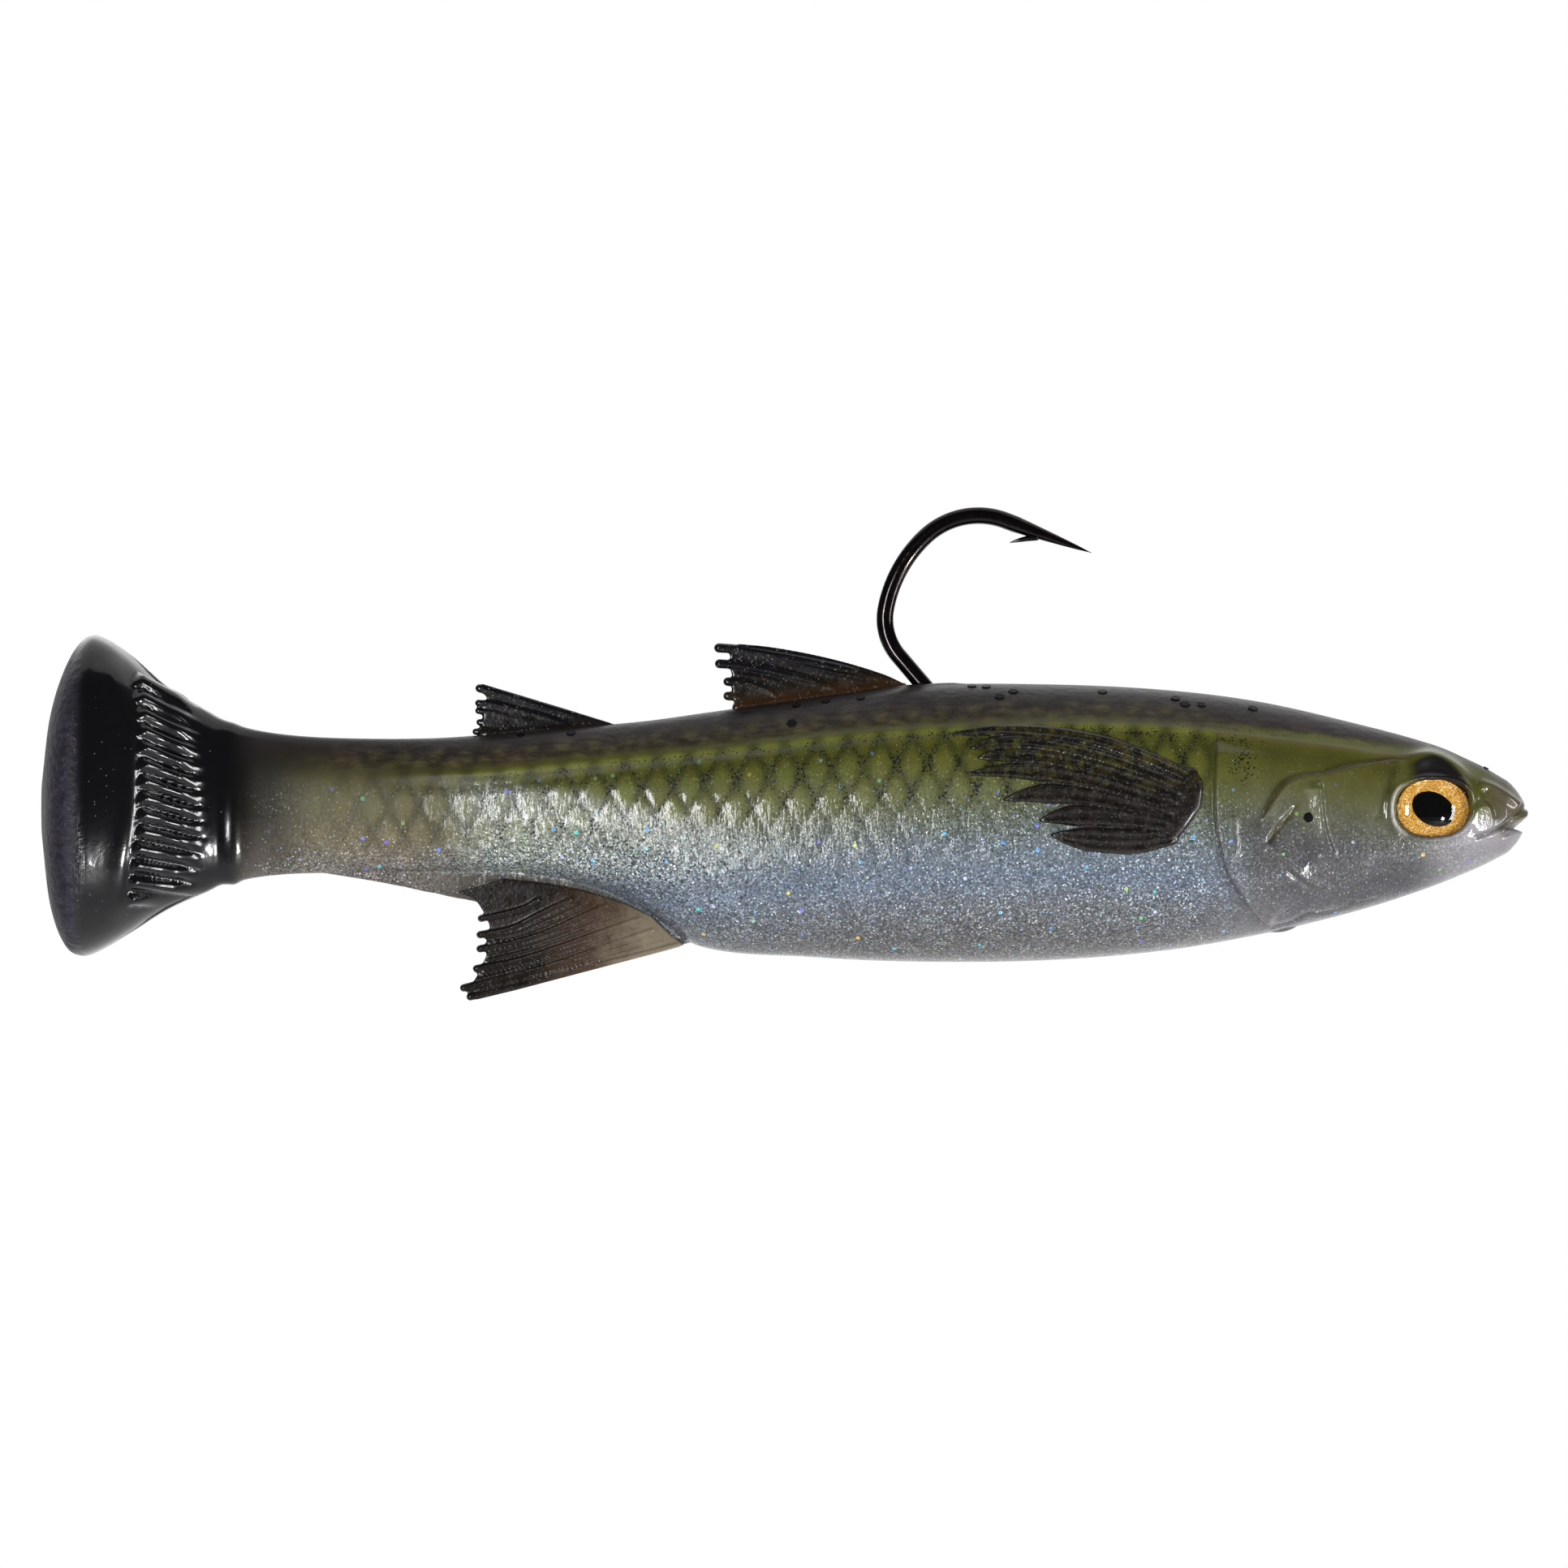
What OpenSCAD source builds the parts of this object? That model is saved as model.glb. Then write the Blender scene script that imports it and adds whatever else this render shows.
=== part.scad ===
// Line-through swimbait with a top hook: a soft fish-shaped body that flexes at three places,
// with a line tube, a lead keel weight and a single hook whose eye sits in a slot in the back.
// Millimetres. +X points out of the mouth, +Z up, and the line tube's mouth is the origin.

/* [Body] */
// Depth of the body at its deepest, back to belly
body_depth = 23.7; // [23:0.1:24.4]
// Width of the body at its widest, side to side
body_width = 17.2; // [16.4:0.1:18.4]
// How square the body's cross-section is: 2 is an ellipse
roundness = 2.2; // [2:0.05:2.5]

/* [Line tube] */
// Outside diameter of the tube that the fishing line runs through
tube_od = 2.0; // [1.8:0.05:2.2]
// Inside diameter of the same tube
tube_id = 1.4; // [1.2:0.05:1.5]
// Length of the tube, from the mouth to the hook slot
tube_length = 37.0; // [36.8:0.1:37.2]

/* [Hook] */
// Diameter of the hook's wire
wire_d = 1.45; // [1.3:0.05:1.5]
// Outside diameter of the ring that the line is tied to
ring_od = 4.4; // [4.2:0.1:4.6]
// Slope of the hook's shank above the horizontal, in degrees
shank_slope = 49.5; // [48:0.5:51]
// Width of the slot in the back
slot_width = 1.85; // [1.75:0.05:2.0]

/* [Keel weight] */
// Diameter of the lead slug in the belly
slug_d = 6.0; // [5:0.1:6.2]
// Length of the slug
slug_length = 24; // [20:1:25]

/* [Eyes] */
// Diameter of the eye
eye_d = 6.1; // [5.8:0.1:6.3]
// Diameter of the pupil
pupil_d = 3.0; // [2.6:0.1:3.4]
// Height of the clear dome
dome_height = 1.15; // [0.9:0.05:1.3]
// Angle by which each eye looks forward, in degrees
eye_turn = 14; // [8:1:16]

/* [Fins] */
// Thickness of the dorsal fins' blades
fin_thickness = 0.9; // [0.7:0.05:0.95]
// Thickness of the anal fin's blade
anal_thickness = 0.7; // [0.6:0.05:0.75]
// Height of the pectoral fins above the flank
pectoral_relief = 0.45; // [0.3:0.05:0.6]

/* [Flex joints] */
// Half angle of the notch where the front body meets the rear body, in degrees
waist_notch = 9; // [8.5:0.5:11]
// Half angle of the notch ahead of the tail stem
stem_notch = 14; // [13.5:0.5:16]
// Half angle of the notch ahead of the tail
tail_notch = 19; // [18.5:0.5:21]

/* [Hidden] */

fit = 0.03;          // gap round a part that is moulded into the body
mouth_r = 1.15;      // the open mouth, ahead of the tube
seat_gap = 0.1;      // gap round a flex joint's core
far = 40;            // further than any section reaches
ring_sides = 32;
round_fn = 64;

// Stations along the soft body: [x, back, belly, half width]
stations = [
    [1.4, 1.6, -0.9, 1.3],
    [0.2, 3.4, -1.7, 2.5],
    [-2.9, 5.3, -3.5, 3.9],
    [-7.1, 6.9, -5.2, 5.1],
    [-13.3, 8.6, -7.2, 6.6],
    [-21.6, 10.5, -9.2, 7.9],
    [-30, 11.6, -10.6, 8.5],
    [-40, 12.2, -11.4, 8.6],
    [-51, 12.1, -11.5, 8.1],
    [-60, 11.0, -11.1, 7.2],
    [-69.3, 9.7, -10.2, 6.0],
    [-73.6, 9.1, -7.4, 5.4],
    [-77.8, 8.7, -5.3, 4.9],
    [-84, 8.2, -4.0, 4.3],
    [-92, 7.6, -3.8, 3.5],
    [-100, 7.6, -3.9, 2.8],
    [-105.5, 8.0, -4.1, 2.4],
    [-109, 8.8, -4.7, 2.6],
    [-112, 10.3, -5.8, 3.6],
    [-115, 12.2, -7.2, 5.2],
    [-118, 14.8, -9.1, 7.2],
    [-120.8, 16.4, -10.7, 8.5],
    [-122.2, 15.8, -11.0, 8.9],
    [-123.6, 13.4, -10.0, 8.6],
    [-124.8, 9.4, -6.6, 6.4],
    [-125.6, 4.0, -1.0, 2.0],
];
drawn_depth = 23.7;
drawn_width = 17.2;
widest_share = 0.53; // where the section is widest, as a share of its depth above the belly

// A smooth curve through a table's column, by x, which falls along the table
function at(table, x, column, i = 0) =
    (i < len(table) - 2 && x < table[i + 1][0]) ? at(table, x, column, i + 1)
    : let (a = table[i], b = table[i + 1], width = b[0] - a[0], t = (x - a[0]) / width,
           slope_a = slope(table, i, column), slope_b = slope(table, i + 1, column))
      (2 * t * t * t - 3 * t * t + 1) * a[column] + (t * t * t - 2 * t * t + t) * width * slope_a
      + (3 * t * t - 2 * t * t * t) * b[column] + (t * t * t - t * t) * width * slope_b;
function slope(table, i, column) =
    let (before = table[max(i - 1, 0)], after = table[min(i + 1, len(table) - 1)])
    (after[column] - before[column]) / (after[0] - before[0]);

function back_z(x) = at(stations, x, 1) * body_depth / drawn_depth;
function belly_z(x) = at(stations, x, 2) * body_depth / drawn_depth;
function half_width(x) = at(stations, x, 3) * body_width / drawn_width;
function widest_z(x) = belly_z(x) + widest_share * (back_z(x) - belly_z(x));
function reach_z(x, up) = up ? back_z(x) - widest_z(x) : widest_z(x) - belly_z(x);

// A ring of points round the body at x, and the flank's distance from the middle plane at (x, z)
function power(v, p) = sign(v) * pow(abs(v), p);
function ring(x) = [
    for (i = [0 : ring_sides - 1])
        let (a = 360 * i / ring_sides)
        [x, half_width(x) * power(cos(a), 2 / roundness),
         widest_z(x) + reach_z(x, sin(a) > 0) * power(sin(a), 2 / roundness)]
];
function flank_y(x, z) =
    half_width(x) * pow(1 - pow(min(1, abs(z - widest_z(x)) / reach_z(x, z > widest_z(x))), roundness), 1 / roundness);

// A closed skin through rings of the same number of points
module skin(rings) {
    n = len(rings[0]);
    m = len(rings);
    points = [for (r = rings) each r];
    sides = [
        for (j = [0 : m - 2], i = [0 : n - 1])
            let (a = j * n + i, b = j * n + (i + 1) % n)
            each [[a, b, b + n], [a, b + n, a + n]]
    ];
    first = [for (i = [n - 1 : -1 : 0]) i];
    last = [for (i = [0 : n - 1]) (m - 1) * n + i];
    polyhedron(points = points, faces = concat(sides, [first, last]), convexity = 6);
}

module body_skin(x_front, x_back, steps) {
    skin([for (k = [0 : steps]) ring(x_front + (x_back - x_front) * k / steps)]);
}

// The keel that the anal fin hangs from, and that runs on into the tail stem
keel_thickness = 2.0;
anal_front = [-70.9, -10.0];
anal_back = [-88.4, -6.55];
module belly_keel() {
    upright(keel_thickness)
        polygon([anal_front, [-74, -5], [-84, -2], [-101, -2], [-101.5, -3.9], [-98.6, -4.35], [-94.5, -5.2], anal_back]);
}

// Raises a drawing in x and z to a plate of that thickness, centred on the middle plane
module upright(thickness) {
    rotate([90, 0, 0]) linear_extrude(height = thickness, center = true) children();
}

// Flex joints, from the front: [x of the axis, core radius, notch half angle]
waist = [-69.3, 1.5, waist_notch];
stem = [-96.5, 1.2, stem_notch];
tail = [-106.2, 1.0, tail_notch];
joint_gap = 0.2;

// What lies ahead of a joint: a notched back face with a seat for the core
module ahead_of(joint) {
    difference() {
        notch_prism(joint, 1);
        translate([joint[0], 0, -far]) cylinder(r = joint[1] + seat_gap, h = 2 * far, $fn = round_fn);
    }
}

// What lies behind a joint: a notched front face with the core on it
module behind(joint) {
    notch_prism(joint, -1);
    translate([joint[0], 0, -far]) cylinder(r = joint[1], h = 2 * far, $fn = round_fn);
}

module notch_prism(joint, way) {
    lean = far * tan(joint[2]);
    near = joint[0] + way * joint_gap;
    translate([0, 0, -far]) linear_extrude(height = 2 * far)
        polygon([[near, 0], [near + way * lean, far], [near + way * 3 * far, far],
                 [near + way * 3 * far, -far], [near + way * lean, -far]]);
}

// Hook: a straight shank, three bends of growing and shrinking radius, a spear and its barb.
// Each run is [length, 0, 0] for a straight or [0, radius, angle turned] for a bend.
ring_centre = [-39.9, 0.05];
shank = 19.2;
bends = [[shank, 0, 0], [0, 4.8, 51], [0, 11.3, 36.4], [0, 6.6, 63.7], [1.7, 0, 0]];
spear = 6.2;
tip_r = 0.06;
shank_way = 180 - shank_slope;
ring_wire = 1.2;

// Where run i starts: [x, z, direction]
function start_of(i) =
    i == 0 ? [ring_centre[0], ring_centre[1], shank_way]
    : let (s = start_of(i - 1), run = bends[i - 1])
      run[1] == 0
      ? [s[0] + run[0] * cos(s[2]), s[1] + run[0] * sin(s[2]), s[2]]
      : [s[0] + run[1] * (sin(s[2]) - sin(s[2] - run[2])),
         s[1] - run[1] * (cos(s[2]) - cos(s[2] - run[2])), s[2] - run[2]];

// Puts its children at a place in the middle plane, with their Z axis along the direction
module along(place) {
    translate([place[0], 0, place[1]]) rotate([0, 90 - place[2], 0]) children();
}

module hook() {
    color([0.12, 0.11, 0.11]) {
        for (i = [0 : len(bends) - 1]) {
            run = bends[i];
            ahead = i == 0 ? ring_od / 2 - ring_wire / 2 : 0;
            along(start_of(i))
                if (run[1] == 0)
                    translate([0, 0, ahead]) cylinder(d = wire_d, h = run[0] - ahead, $fn = round_fn);
                else
                    translate([run[1], 0, 0]) rotate([-90, 0, 0]) rotate([0, 0, 180])
                        rotate_extrude(angle = run[2], $fn = round_fn) translate([run[1], 0]) circle(d = wire_d);
            along(start_of(i + 1)) sphere(d = wire_d + 0.02, $fn = round_fn);
        }
        along(start_of(len(bends))) {
            cylinder(r1 = wire_d / 2, r2 = tip_r, h = spear, $fn = round_fn);
            rotate([90, 0, 0]) linear_extrude(height = 0.5, center = true)
                polygon([[-0.35, 1.6], [-0.95, 0.15], [-0.55, 0.75], [-0.3, 0.6]]);
        }
        translate([ring_centre[0], 0, ring_centre[1]]) rotate([90, 0, 0])
            rotate_extrude($fn = round_fn) translate([ring_od / 2 - ring_wire / 2, 0]) circle(d = ring_wire);
    }
}

// The slot in the back that the hook's shank and ring slide out of
module hook_slot() {
    room = ring_od + 0.6;
    translate([ring_centre[0], 0, ring_centre[1]]) {
        rotate([90, 0, 0]) cylinder(d = room, h = slot_width, center = true, $fn = round_fn);
        rotate([0, 90 - shank_way, 0]) translate([-room / 2, -slot_width / 2, 0]) cube([room, slot_width, far / 1.5]);
    }
}

module line_tube() {
    color([0.9, 0.9, 0.88])
        translate([-tube_length, 0, 0]) rotate([0, 90, 0])
            difference() {
                cylinder(d = tube_od, h = tube_length, $fn = round_fn);
                translate([0, 0, -1]) cylinder(d = tube_id, h = tube_length + 2, $fn = round_fn);
            }
}

// The lead casting: a round-ended slug with three keeper rings, hung from the tube by two collars
slug_front = -17;
slug_z = -6.0;
collar_at = [-20, -33];
collar_d = 3.6;
collar_width = 2.6;
module keel_weight(grow = 0) {
    r = slug_d / 2 + grow;
    color([0.45, 0.46, 0.48]) {
        translate([slug_front - slug_length + slug_d / 2, 0, slug_z]) rotate([0, 90, 0]) {
            cylinder(r = r, h = slug_length - slug_d, $fn = round_fn);
            sphere(r = r, $fn = round_fn);
            translate([0, 0, slug_length - slug_d]) sphere(r = r, $fn = round_fn);
            for (k = [1 : 3])
                translate([0, 0, k * (slug_length - slug_d) / 4 - 0.4 - grow])
                    cylinder(r = r + 0.5, h = 0.8 + 2 * grow, $fn = round_fn);
        }
        for (x = collar_at)
            translate([x - collar_width / 2 - grow, 0, 0]) {
                difference() {
                    union() {
                        rotate([0, 90, 0]) cylinder(d = collar_d + 2 * grow, h = collar_width + 2 * grow, $fn = round_fn);
                        translate([0, -1 - grow, slug_z]) cube([collar_width + 2 * grow, 2 + 2 * grow, -slug_z]);
                    }
                    translate([-1, 0, 0]) rotate([0, 90, 0])
                        cylinder(d = tube_od + 2 * fit, h = collar_width + 4, $fn = round_fn);
                }
            }
    }
}

// Eyes: a gold foil disc, a raised pupil on it, and a clear dome over both, in a round socket
eye_centre = [-6.9, 5.15, 1.5];
socket_depth = 1.15;
foil_thickness = 0.4;
pupil_thickness = 0.15;
module eye_place(side) {
    translate([eye_centre[0], side * eye_centre[1], eye_centre[2]])
        rotate([0, 0, -side * eye_turn]) rotate([-90 * side, 0, 0]) translate([0, 0, -socket_depth]) children();
}

module eye_socket(side) {
    eye_place(side) cylinder(d = eye_d + 2 * fit, h = far / 4, $fn = round_fn);
}

module eye_foil(side) {
    color([0.86, 0.62, 0.2]) eye_place(side) cylinder(d = eye_d, h = foil_thickness, $fn = round_fn);
}

module pupil(side) {
    color([0.03, 0.03, 0.03])
        eye_place(side) translate([0, 0, foil_thickness]) cylinder(d = pupil_d, h = pupil_thickness, $fn = round_fn);
}

module eye_dome(side) {
    ball = (pow(eye_d / 2, 2) + pow(dome_height, 2)) / (2 * dome_height);
    color([0.95, 0.95, 0.95, 0.3])
        eye_place(side) translate([0, 0, foil_thickness]) difference() {
            intersection() {
                translate([0, 0, dome_height - ball]) sphere(r = ball, $fn = round_fn);
                cylinder(d = eye_d, h = dome_height + 1, $fn = round_fn);
            }
            translate([0, 0, -1]) cylinder(d = pupil_d + 2 * fit, h = 1 + pupil_thickness + fit, $fn = round_fn);
        }
}

// Fins that flex on a round root, which lies in a groove. A root is [front point, back point, radius].
front_dorsal_root = [[-54.1, 11.95], [-66.4, 10.25], 0.6];
rear_dorsal_root = [[-77.2, 8.85], [-88.6, 8.0], 0.6];
anal_root = [anal_front, anal_back, 0.45];
ray_r = 0.42;

function root_length(root) = norm(root[0] - root[1]);
function root_way(root) = atan2(root[0][1] - root[1][1], root[0][0] - root[1][0]);

module root_rod(root, r, spare = 0) {
    along([root[1][0], root[1][1], root_way(root)])
        translate([0, 0, -spare]) cylinder(r = r, h = root_length(root) + 2 * spare, $fn = round_fn);
}

module root_groove(root) {
    root_rod(root, root[2] + seat_gap, 0.3);
}

// A blade with rounded ray tips along its back edge. Each ray is [x, z, direction, length].
module fin(root, outline, thickness, rays) {
    root_rod(root, root[2]);
    upright(thickness) polygon(concat([root[0], root[1]], outline));
    for (ray = rays)
        along(ray) {
            cylinder(r = ray_r, h = ray[3], $fn = round_fn);
            translate([0, 0, ray[3]]) sphere(r = ray_r, $fn = round_fn);
        }
}

module front_dorsal_fin() {
    color([0.16, 0.16, 0.15])
        fin(front_dorsal_root, [[-66.3, 11.5], [-66.9, 13.6], [-66.9, 15.5], [-66, 15.8], [-62, 15.3], [-58, 14.3]],
            fin_thickness,
            [[-65.9, 15.3, 172, 1.8], [-65.9, 13.7, 172, 1.6], [-65.7, 12.3, 172, 1.1], [-65.5, 11.2, 176, 1.0]]);
}

module rear_dorsal_fin() {
    color([0.1, 0.1, 0.13])
        fin(rear_dorsal_root, [[-87.6, 8.9], [-87.6, 11.4], [-87.9, 12.1], [-87.4, 12.2]], fin_thickness,
            [[-86.5, 11.5, 166, 1.8], [-86.5, 10.5, 170, 1.8], [-86.5, 9.7, 174, 1.7], [-86.5, 9.0, 176, 1.6]]);
}

module anal_fin() {
    color([0.2, 0.18, 0.17])
        fin(anal_root, [[-87.6, -9], [-87.7, -10.8], [-88.2, -12.6], [-88.9, -14.4], [-88.6, -14.8], [-88.1, -14.7]],
            anal_thickness,
            [[-87.3, -8.4, 176, 1.5], [-87.4, -9.7, 180, 1.5], [-87.4, -10.9, 180, 1.4], [-87.7, -12.4, 184, 1.3],
             [-88.2, -13.8, 180, 1.1], [-88.2, -14.4, 184, 0.6]]);
}

// Pectoral fins, moulded as a low relief that follows the flank: [x, upper edge, lower edge]
pectoral_edges = [
    [-26.3, 4.9, 4.0],
    [-27.4, 5.5, 1.8],
    [-29.5, 6.4, -1.1],
    [-33.4, 7.6, -2.1],
    [-36.5, 8.2, -1.7],
    [-40, 8.6, 0.2],
    [-44, 8.7, 2.8],
    [-47.4, 8.4, 6.6],
];
pectoral_lift = 0.04;
module pectoral_fin(side) {
    steps = 20;
    across = 8;
    x_front = pectoral_edges[0][0];
    x_back = pectoral_edges[len(pectoral_edges) - 1][0];
    color([0.2, 0.19, 0.12])
        mirror([0, side < 0 ? 1 : 0, 0])
            skin([
                for (k = [0 : steps])
                    let (x = x_front + (x_back - x_front) * k / steps,
                         upper = at(pectoral_edges, x, 1), lower = at(pectoral_edges, x, 2))
                    [
                        for (i = [0 : across])
                            let (z = upper + (lower - upper) * i / across)
                            [x, flank_y(x, z) + pectoral_lift, z],
                        for (i = [across : -1 : 0])
                            let (z = upper + (lower - upper) * i / across)
                            [x, flank_y(x, z) + pectoral_lift + pectoral_relief, z]
                    ]
            ]);
}

// The soft moulding, in the four lengths that it flexes between
module front_body() {
    color([0.42, 0.45, 0.3]) difference() {
        intersection() {
            body_skin(stations[0][0], waist[0] - 1, 40);
            ahead_of(waist);
        }
        for (side = [-1, 1]) eye_socket(side);
        hook_slot();
        keel_weight(fit);
        translate([-tube_length - 0.5, 0, 0]) rotate([0, 90, 0])
            cylinder(d = tube_od + 2 * fit, h = tube_length + 0.5, $fn = round_fn);
        rotate([0, 90, 0]) cylinder(r = mouth_r, h = 4, $fn = round_fn);
        root_groove(front_dorsal_root);
    }
}

module rear_body() {
    color([0.4, 0.42, 0.34]) difference() {
        intersection() {
            union() {
                body_skin(waist[0] + 3, stem[0] - 1, 18);
                belly_keel();
            }
            behind(waist);
            ahead_of(stem);
        }
        root_groove(rear_dorsal_root);
        root_groove(anal_root);
    }
}

module tail_stem() {
    color([0.36, 0.36, 0.3]) intersection() {
        union() {
            body_skin(stem[0] + 2.5, tail[0] - 1, 10);
            belly_keel();
        }
        behind(stem);
        ahead_of(tail);
    }
}

module tail_paddle() {
    color([0.08, 0.08, 0.1]) intersection() {
        body_skin(tail[0] + 2.5, stations[len(stations) - 1][0], 26);
        behind(tail);
    }
}

front_body();
rear_body();
tail_stem();
tail_paddle();
front_dorsal_fin();
rear_dorsal_fin();
anal_fin();
pectoral_fin(1);  // pectoral_fin_left
pectoral_fin(-1);  // pectoral_fin_right
line_tube();
keel_weight();
hook();
eye_foil(1);  // eye_foil_left
eye_foil(-1);  // eye_foil_right
pupil(1);  // pupil_left
pupil(-1);  // pupil_right
eye_dome(1);  // eye_dome_left
eye_dome(-1);  // eye_dome_right
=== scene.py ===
"""Soft line-through swimbait: the moulded skin, fins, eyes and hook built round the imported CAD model.

Lengths in the tables are millimetres in the row's frame: +X out of the mouth, +Z up, origin at the line tube's mouth.
"""

import math

import bpy
import numpy as np
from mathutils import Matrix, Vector


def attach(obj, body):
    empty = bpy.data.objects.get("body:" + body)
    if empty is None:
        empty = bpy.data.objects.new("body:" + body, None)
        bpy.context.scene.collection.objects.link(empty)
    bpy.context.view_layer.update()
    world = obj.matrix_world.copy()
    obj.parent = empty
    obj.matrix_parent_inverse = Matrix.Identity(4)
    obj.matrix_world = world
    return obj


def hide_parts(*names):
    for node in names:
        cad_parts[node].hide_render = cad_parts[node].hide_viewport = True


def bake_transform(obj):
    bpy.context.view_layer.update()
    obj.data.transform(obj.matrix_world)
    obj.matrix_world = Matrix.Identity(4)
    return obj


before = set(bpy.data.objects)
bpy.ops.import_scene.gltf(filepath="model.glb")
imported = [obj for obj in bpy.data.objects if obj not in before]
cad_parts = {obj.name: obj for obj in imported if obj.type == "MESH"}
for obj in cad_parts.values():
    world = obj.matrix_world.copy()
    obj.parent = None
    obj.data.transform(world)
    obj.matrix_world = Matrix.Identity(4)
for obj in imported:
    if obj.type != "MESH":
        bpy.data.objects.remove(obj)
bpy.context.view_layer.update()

MM = 0.001
RIGHT, LEFT = -1, 1

# --- The body's form --------------------------------------------------------------------------------

# Stations along the body: x, back, belly, half width
STATIONS = np.array([
    (-0.6, 4.1, -2.35, 2.9),
    (-2.9, 5.4, -3.5, 3.9),
    (-7.1, 7.15, -5.2, 5.1),
    (-13.3, 8.85, -7.2, 6.6),
    (-21.6, 10.72, -9.2, 7.9),
    (-30, 11.75, -10.6, 8.5),
    (-40, 12.2, -11.4, 8.6),
    (-51, 12.1, -11.5, 8.1),
    (-60, 11.0, -11.1, 7.2),
    (-69.3, 9.7, -10.2, 6.0),
    (-73.6, 9.1, -7.4, 5.4),
    (-77.8, 8.7, -5.3, 4.9),
    (-84, 8.2, -4.0, 4.3),
    (-92, 7.6, -3.8, 3.5),
    (-100, 7.6, -3.9, 2.8),
    (-105.5, 8.0, -4.1, 2.4),
    (-109, 8.8, -4.7, 2.6),
    (-112, 10.3, -5.8, 3.6),
    (-115, 12.2, -7.2, 5.2),
    (-118, 14.8, -9.1, 7.2),
    (-120.8, 16.4, -10.7, 8.5),
    (-122.2, 15.8, -11.0, 8.9),
    (-123.6, 13.4, -10.0, 8.6),
    (-124.8, 9.4, -6.6, 6.4),
    (-125.5, 4.0, -1.0, 2.0),
])
ROUNDNESS = 2.2
WIDEST = 0.53
NOSE_X, NOSE_Z = 1.36, 0.95
NOSE_START = -0.6

# The edge that runs from the snout to the tail stem, between the dark back and the olive band: x, z
CREASE = np.array([
    (2.0, 1.2), (0.3, 2.6), (-2.6, 3.9), (-4.6, 4.9), (-7.2, 5.9), (-10.5, 6.05), (-14.5, 6.65),
    (-18.5, 7.15), (-24.5, 7.85), (-31, 8.4), (-39, 8.6), (-47.3, 8.25), (-53.9, 7.9), (-61, 7.2),
    (-69.5, 6.25), (-80.6, 5.2), (-87, 4.6), (-93.6, 4.4), (-102, 4.3), (-126, 4.3),
])

# The lower edge of the keel that the anal fin hangs from: x, z
KEEL = np.array([
    (-69.5, -9.6), (-70.9, -10.0), (-79.5, -8.3), (-88.3, -6.45), (-92.4, -5.6), (-96.5, -4.75),
    (-100.7, -4.05), (-104, -3.6),
])
KEEL_HALF = 0.55
KEEL_JOINS = 0.8

RING = 288
HALF = RING // 2


def curve(table, x, column=1):
    """A smooth curve through a table's column, at x."""
    rows = table[np.argsort(table[:, 0])]
    px, py = rows[:, 0], rows[:, column]
    before, after = np.maximum(np.arange(len(px)) - 1, 0), np.minimum(np.arange(len(px)) + 1, len(px) - 1)
    slope = (py[after] - py[before]) / (px[after] - px[before])
    i = np.clip(np.searchsorted(px, x) - 1, 0, len(px) - 2)
    w = px[i + 1] - px[i]
    t = np.clip((x - px[i]) / w, 0, 1)
    return ((2 * t**3 - 3 * t**2 + 1) * py[i] + (t**3 - 2 * t**2 + t) * w * slope[i]
            + (3 * t**2 - 2 * t**3) * py[i + 1] + (t**3 - t**2) * w * slope[i + 1])


def smooth(low, high, v):
    """0 below low, 1 above high, and a soft step between."""
    t = np.clip((v - low) / (high - low), 0, 1)
    return t * t * (3 - 2 * t)


def bump(v, width):
    """1 at 0, and falling to nothing over about twice the width."""
    return np.exp(-((v / width) ** 2))


def outline_at(x):
    """Back, belly and half width at x. The nose closes as the end of an ellipsoid."""
    xs = np.minimum(x, NOSE_START)
    back, belly, half = (curve(STATIONS, xs, c) for c in (1, 2, 3))
    ahead = np.maximum(x - NOSE_START, 0)
    close = np.sqrt(np.clip(1 - (ahead / (NOSE_X - NOSE_START)) ** 2, 0, 1))
    blunt = np.clip(1 - (ahead / (NOSE_X - NOSE_START)) ** 3.2, 0, 1) ** (1 / 3.2)
    back = np.where(ahead > 0, NOSE_Z + (back - 0.55 * ahead - NOSE_Z) * close, back)
    belly = np.where(ahead > 0, NOSE_Z + (belly + 0.55 * ahead - NOSE_Z) * close, belly)
    return back, belly, np.where(ahead > 0, (half - 0.7 * ahead) * blunt, half)


def side_at(z, back, belly, half):
    """Distance of the smooth side from the middle plane, at height z of a section."""
    widest = belly + WIDEST * (back - belly)
    reach = np.where(z > widest, back - widest, widest - belly)
    return half * np.clip(1 - (np.abs(z - widest) / reach) ** ROUNDNESS, 0, 1) ** (1 / ROUNDNESS)


def half_section(x):
    """One side of the body's section at x, from back to belly: HALF + 1 points (y, z)."""
    back, belly, half = (float(v[0]) for v in outline_at(np.array([x])))
    low = belly
    keel = None
    if KEEL[-1, 0] < x < KEEL[0, 0]:
        keel = float(curve(KEEL, np.array([x]))[0])
        low = min(belly, keel)
    z = back - (back - low) * (1 - np.cos(np.linspace(0, math.pi, 500))) / 2
    y = side_at(z, back, belly, half)
    if keel is not None and keel < belly + KEEL_JOINS:
        widest = belly + WIDEST * (back - belly)
        plate = KEEL_HALF * np.sqrt(np.clip((z - keel) / 0.5, 0, 1)) * smooth(widest + 1, widest - 2, z)
        y = (y**5 + plate**5) ** 0.2
        y[-1] = 0
    length = np.concatenate([[0], np.cumsum(np.hypot(np.diff(y), np.diff(z)))])
    middle = (length[1:] + length[:-1]) / 2
    density = 1 + 1.6 * bump(middle, 1.6) + 0.8 * bump(length[-1] - middle, 1.6)
    weight = np.concatenate([[0], np.cumsum(density * np.diff(length))])
    at = np.interp(np.linspace(0, weight[-1], HALF + 1), weight, length)
    return np.stack([np.interp(at, length, y), np.interp(at, length, z)], 1)


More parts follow.
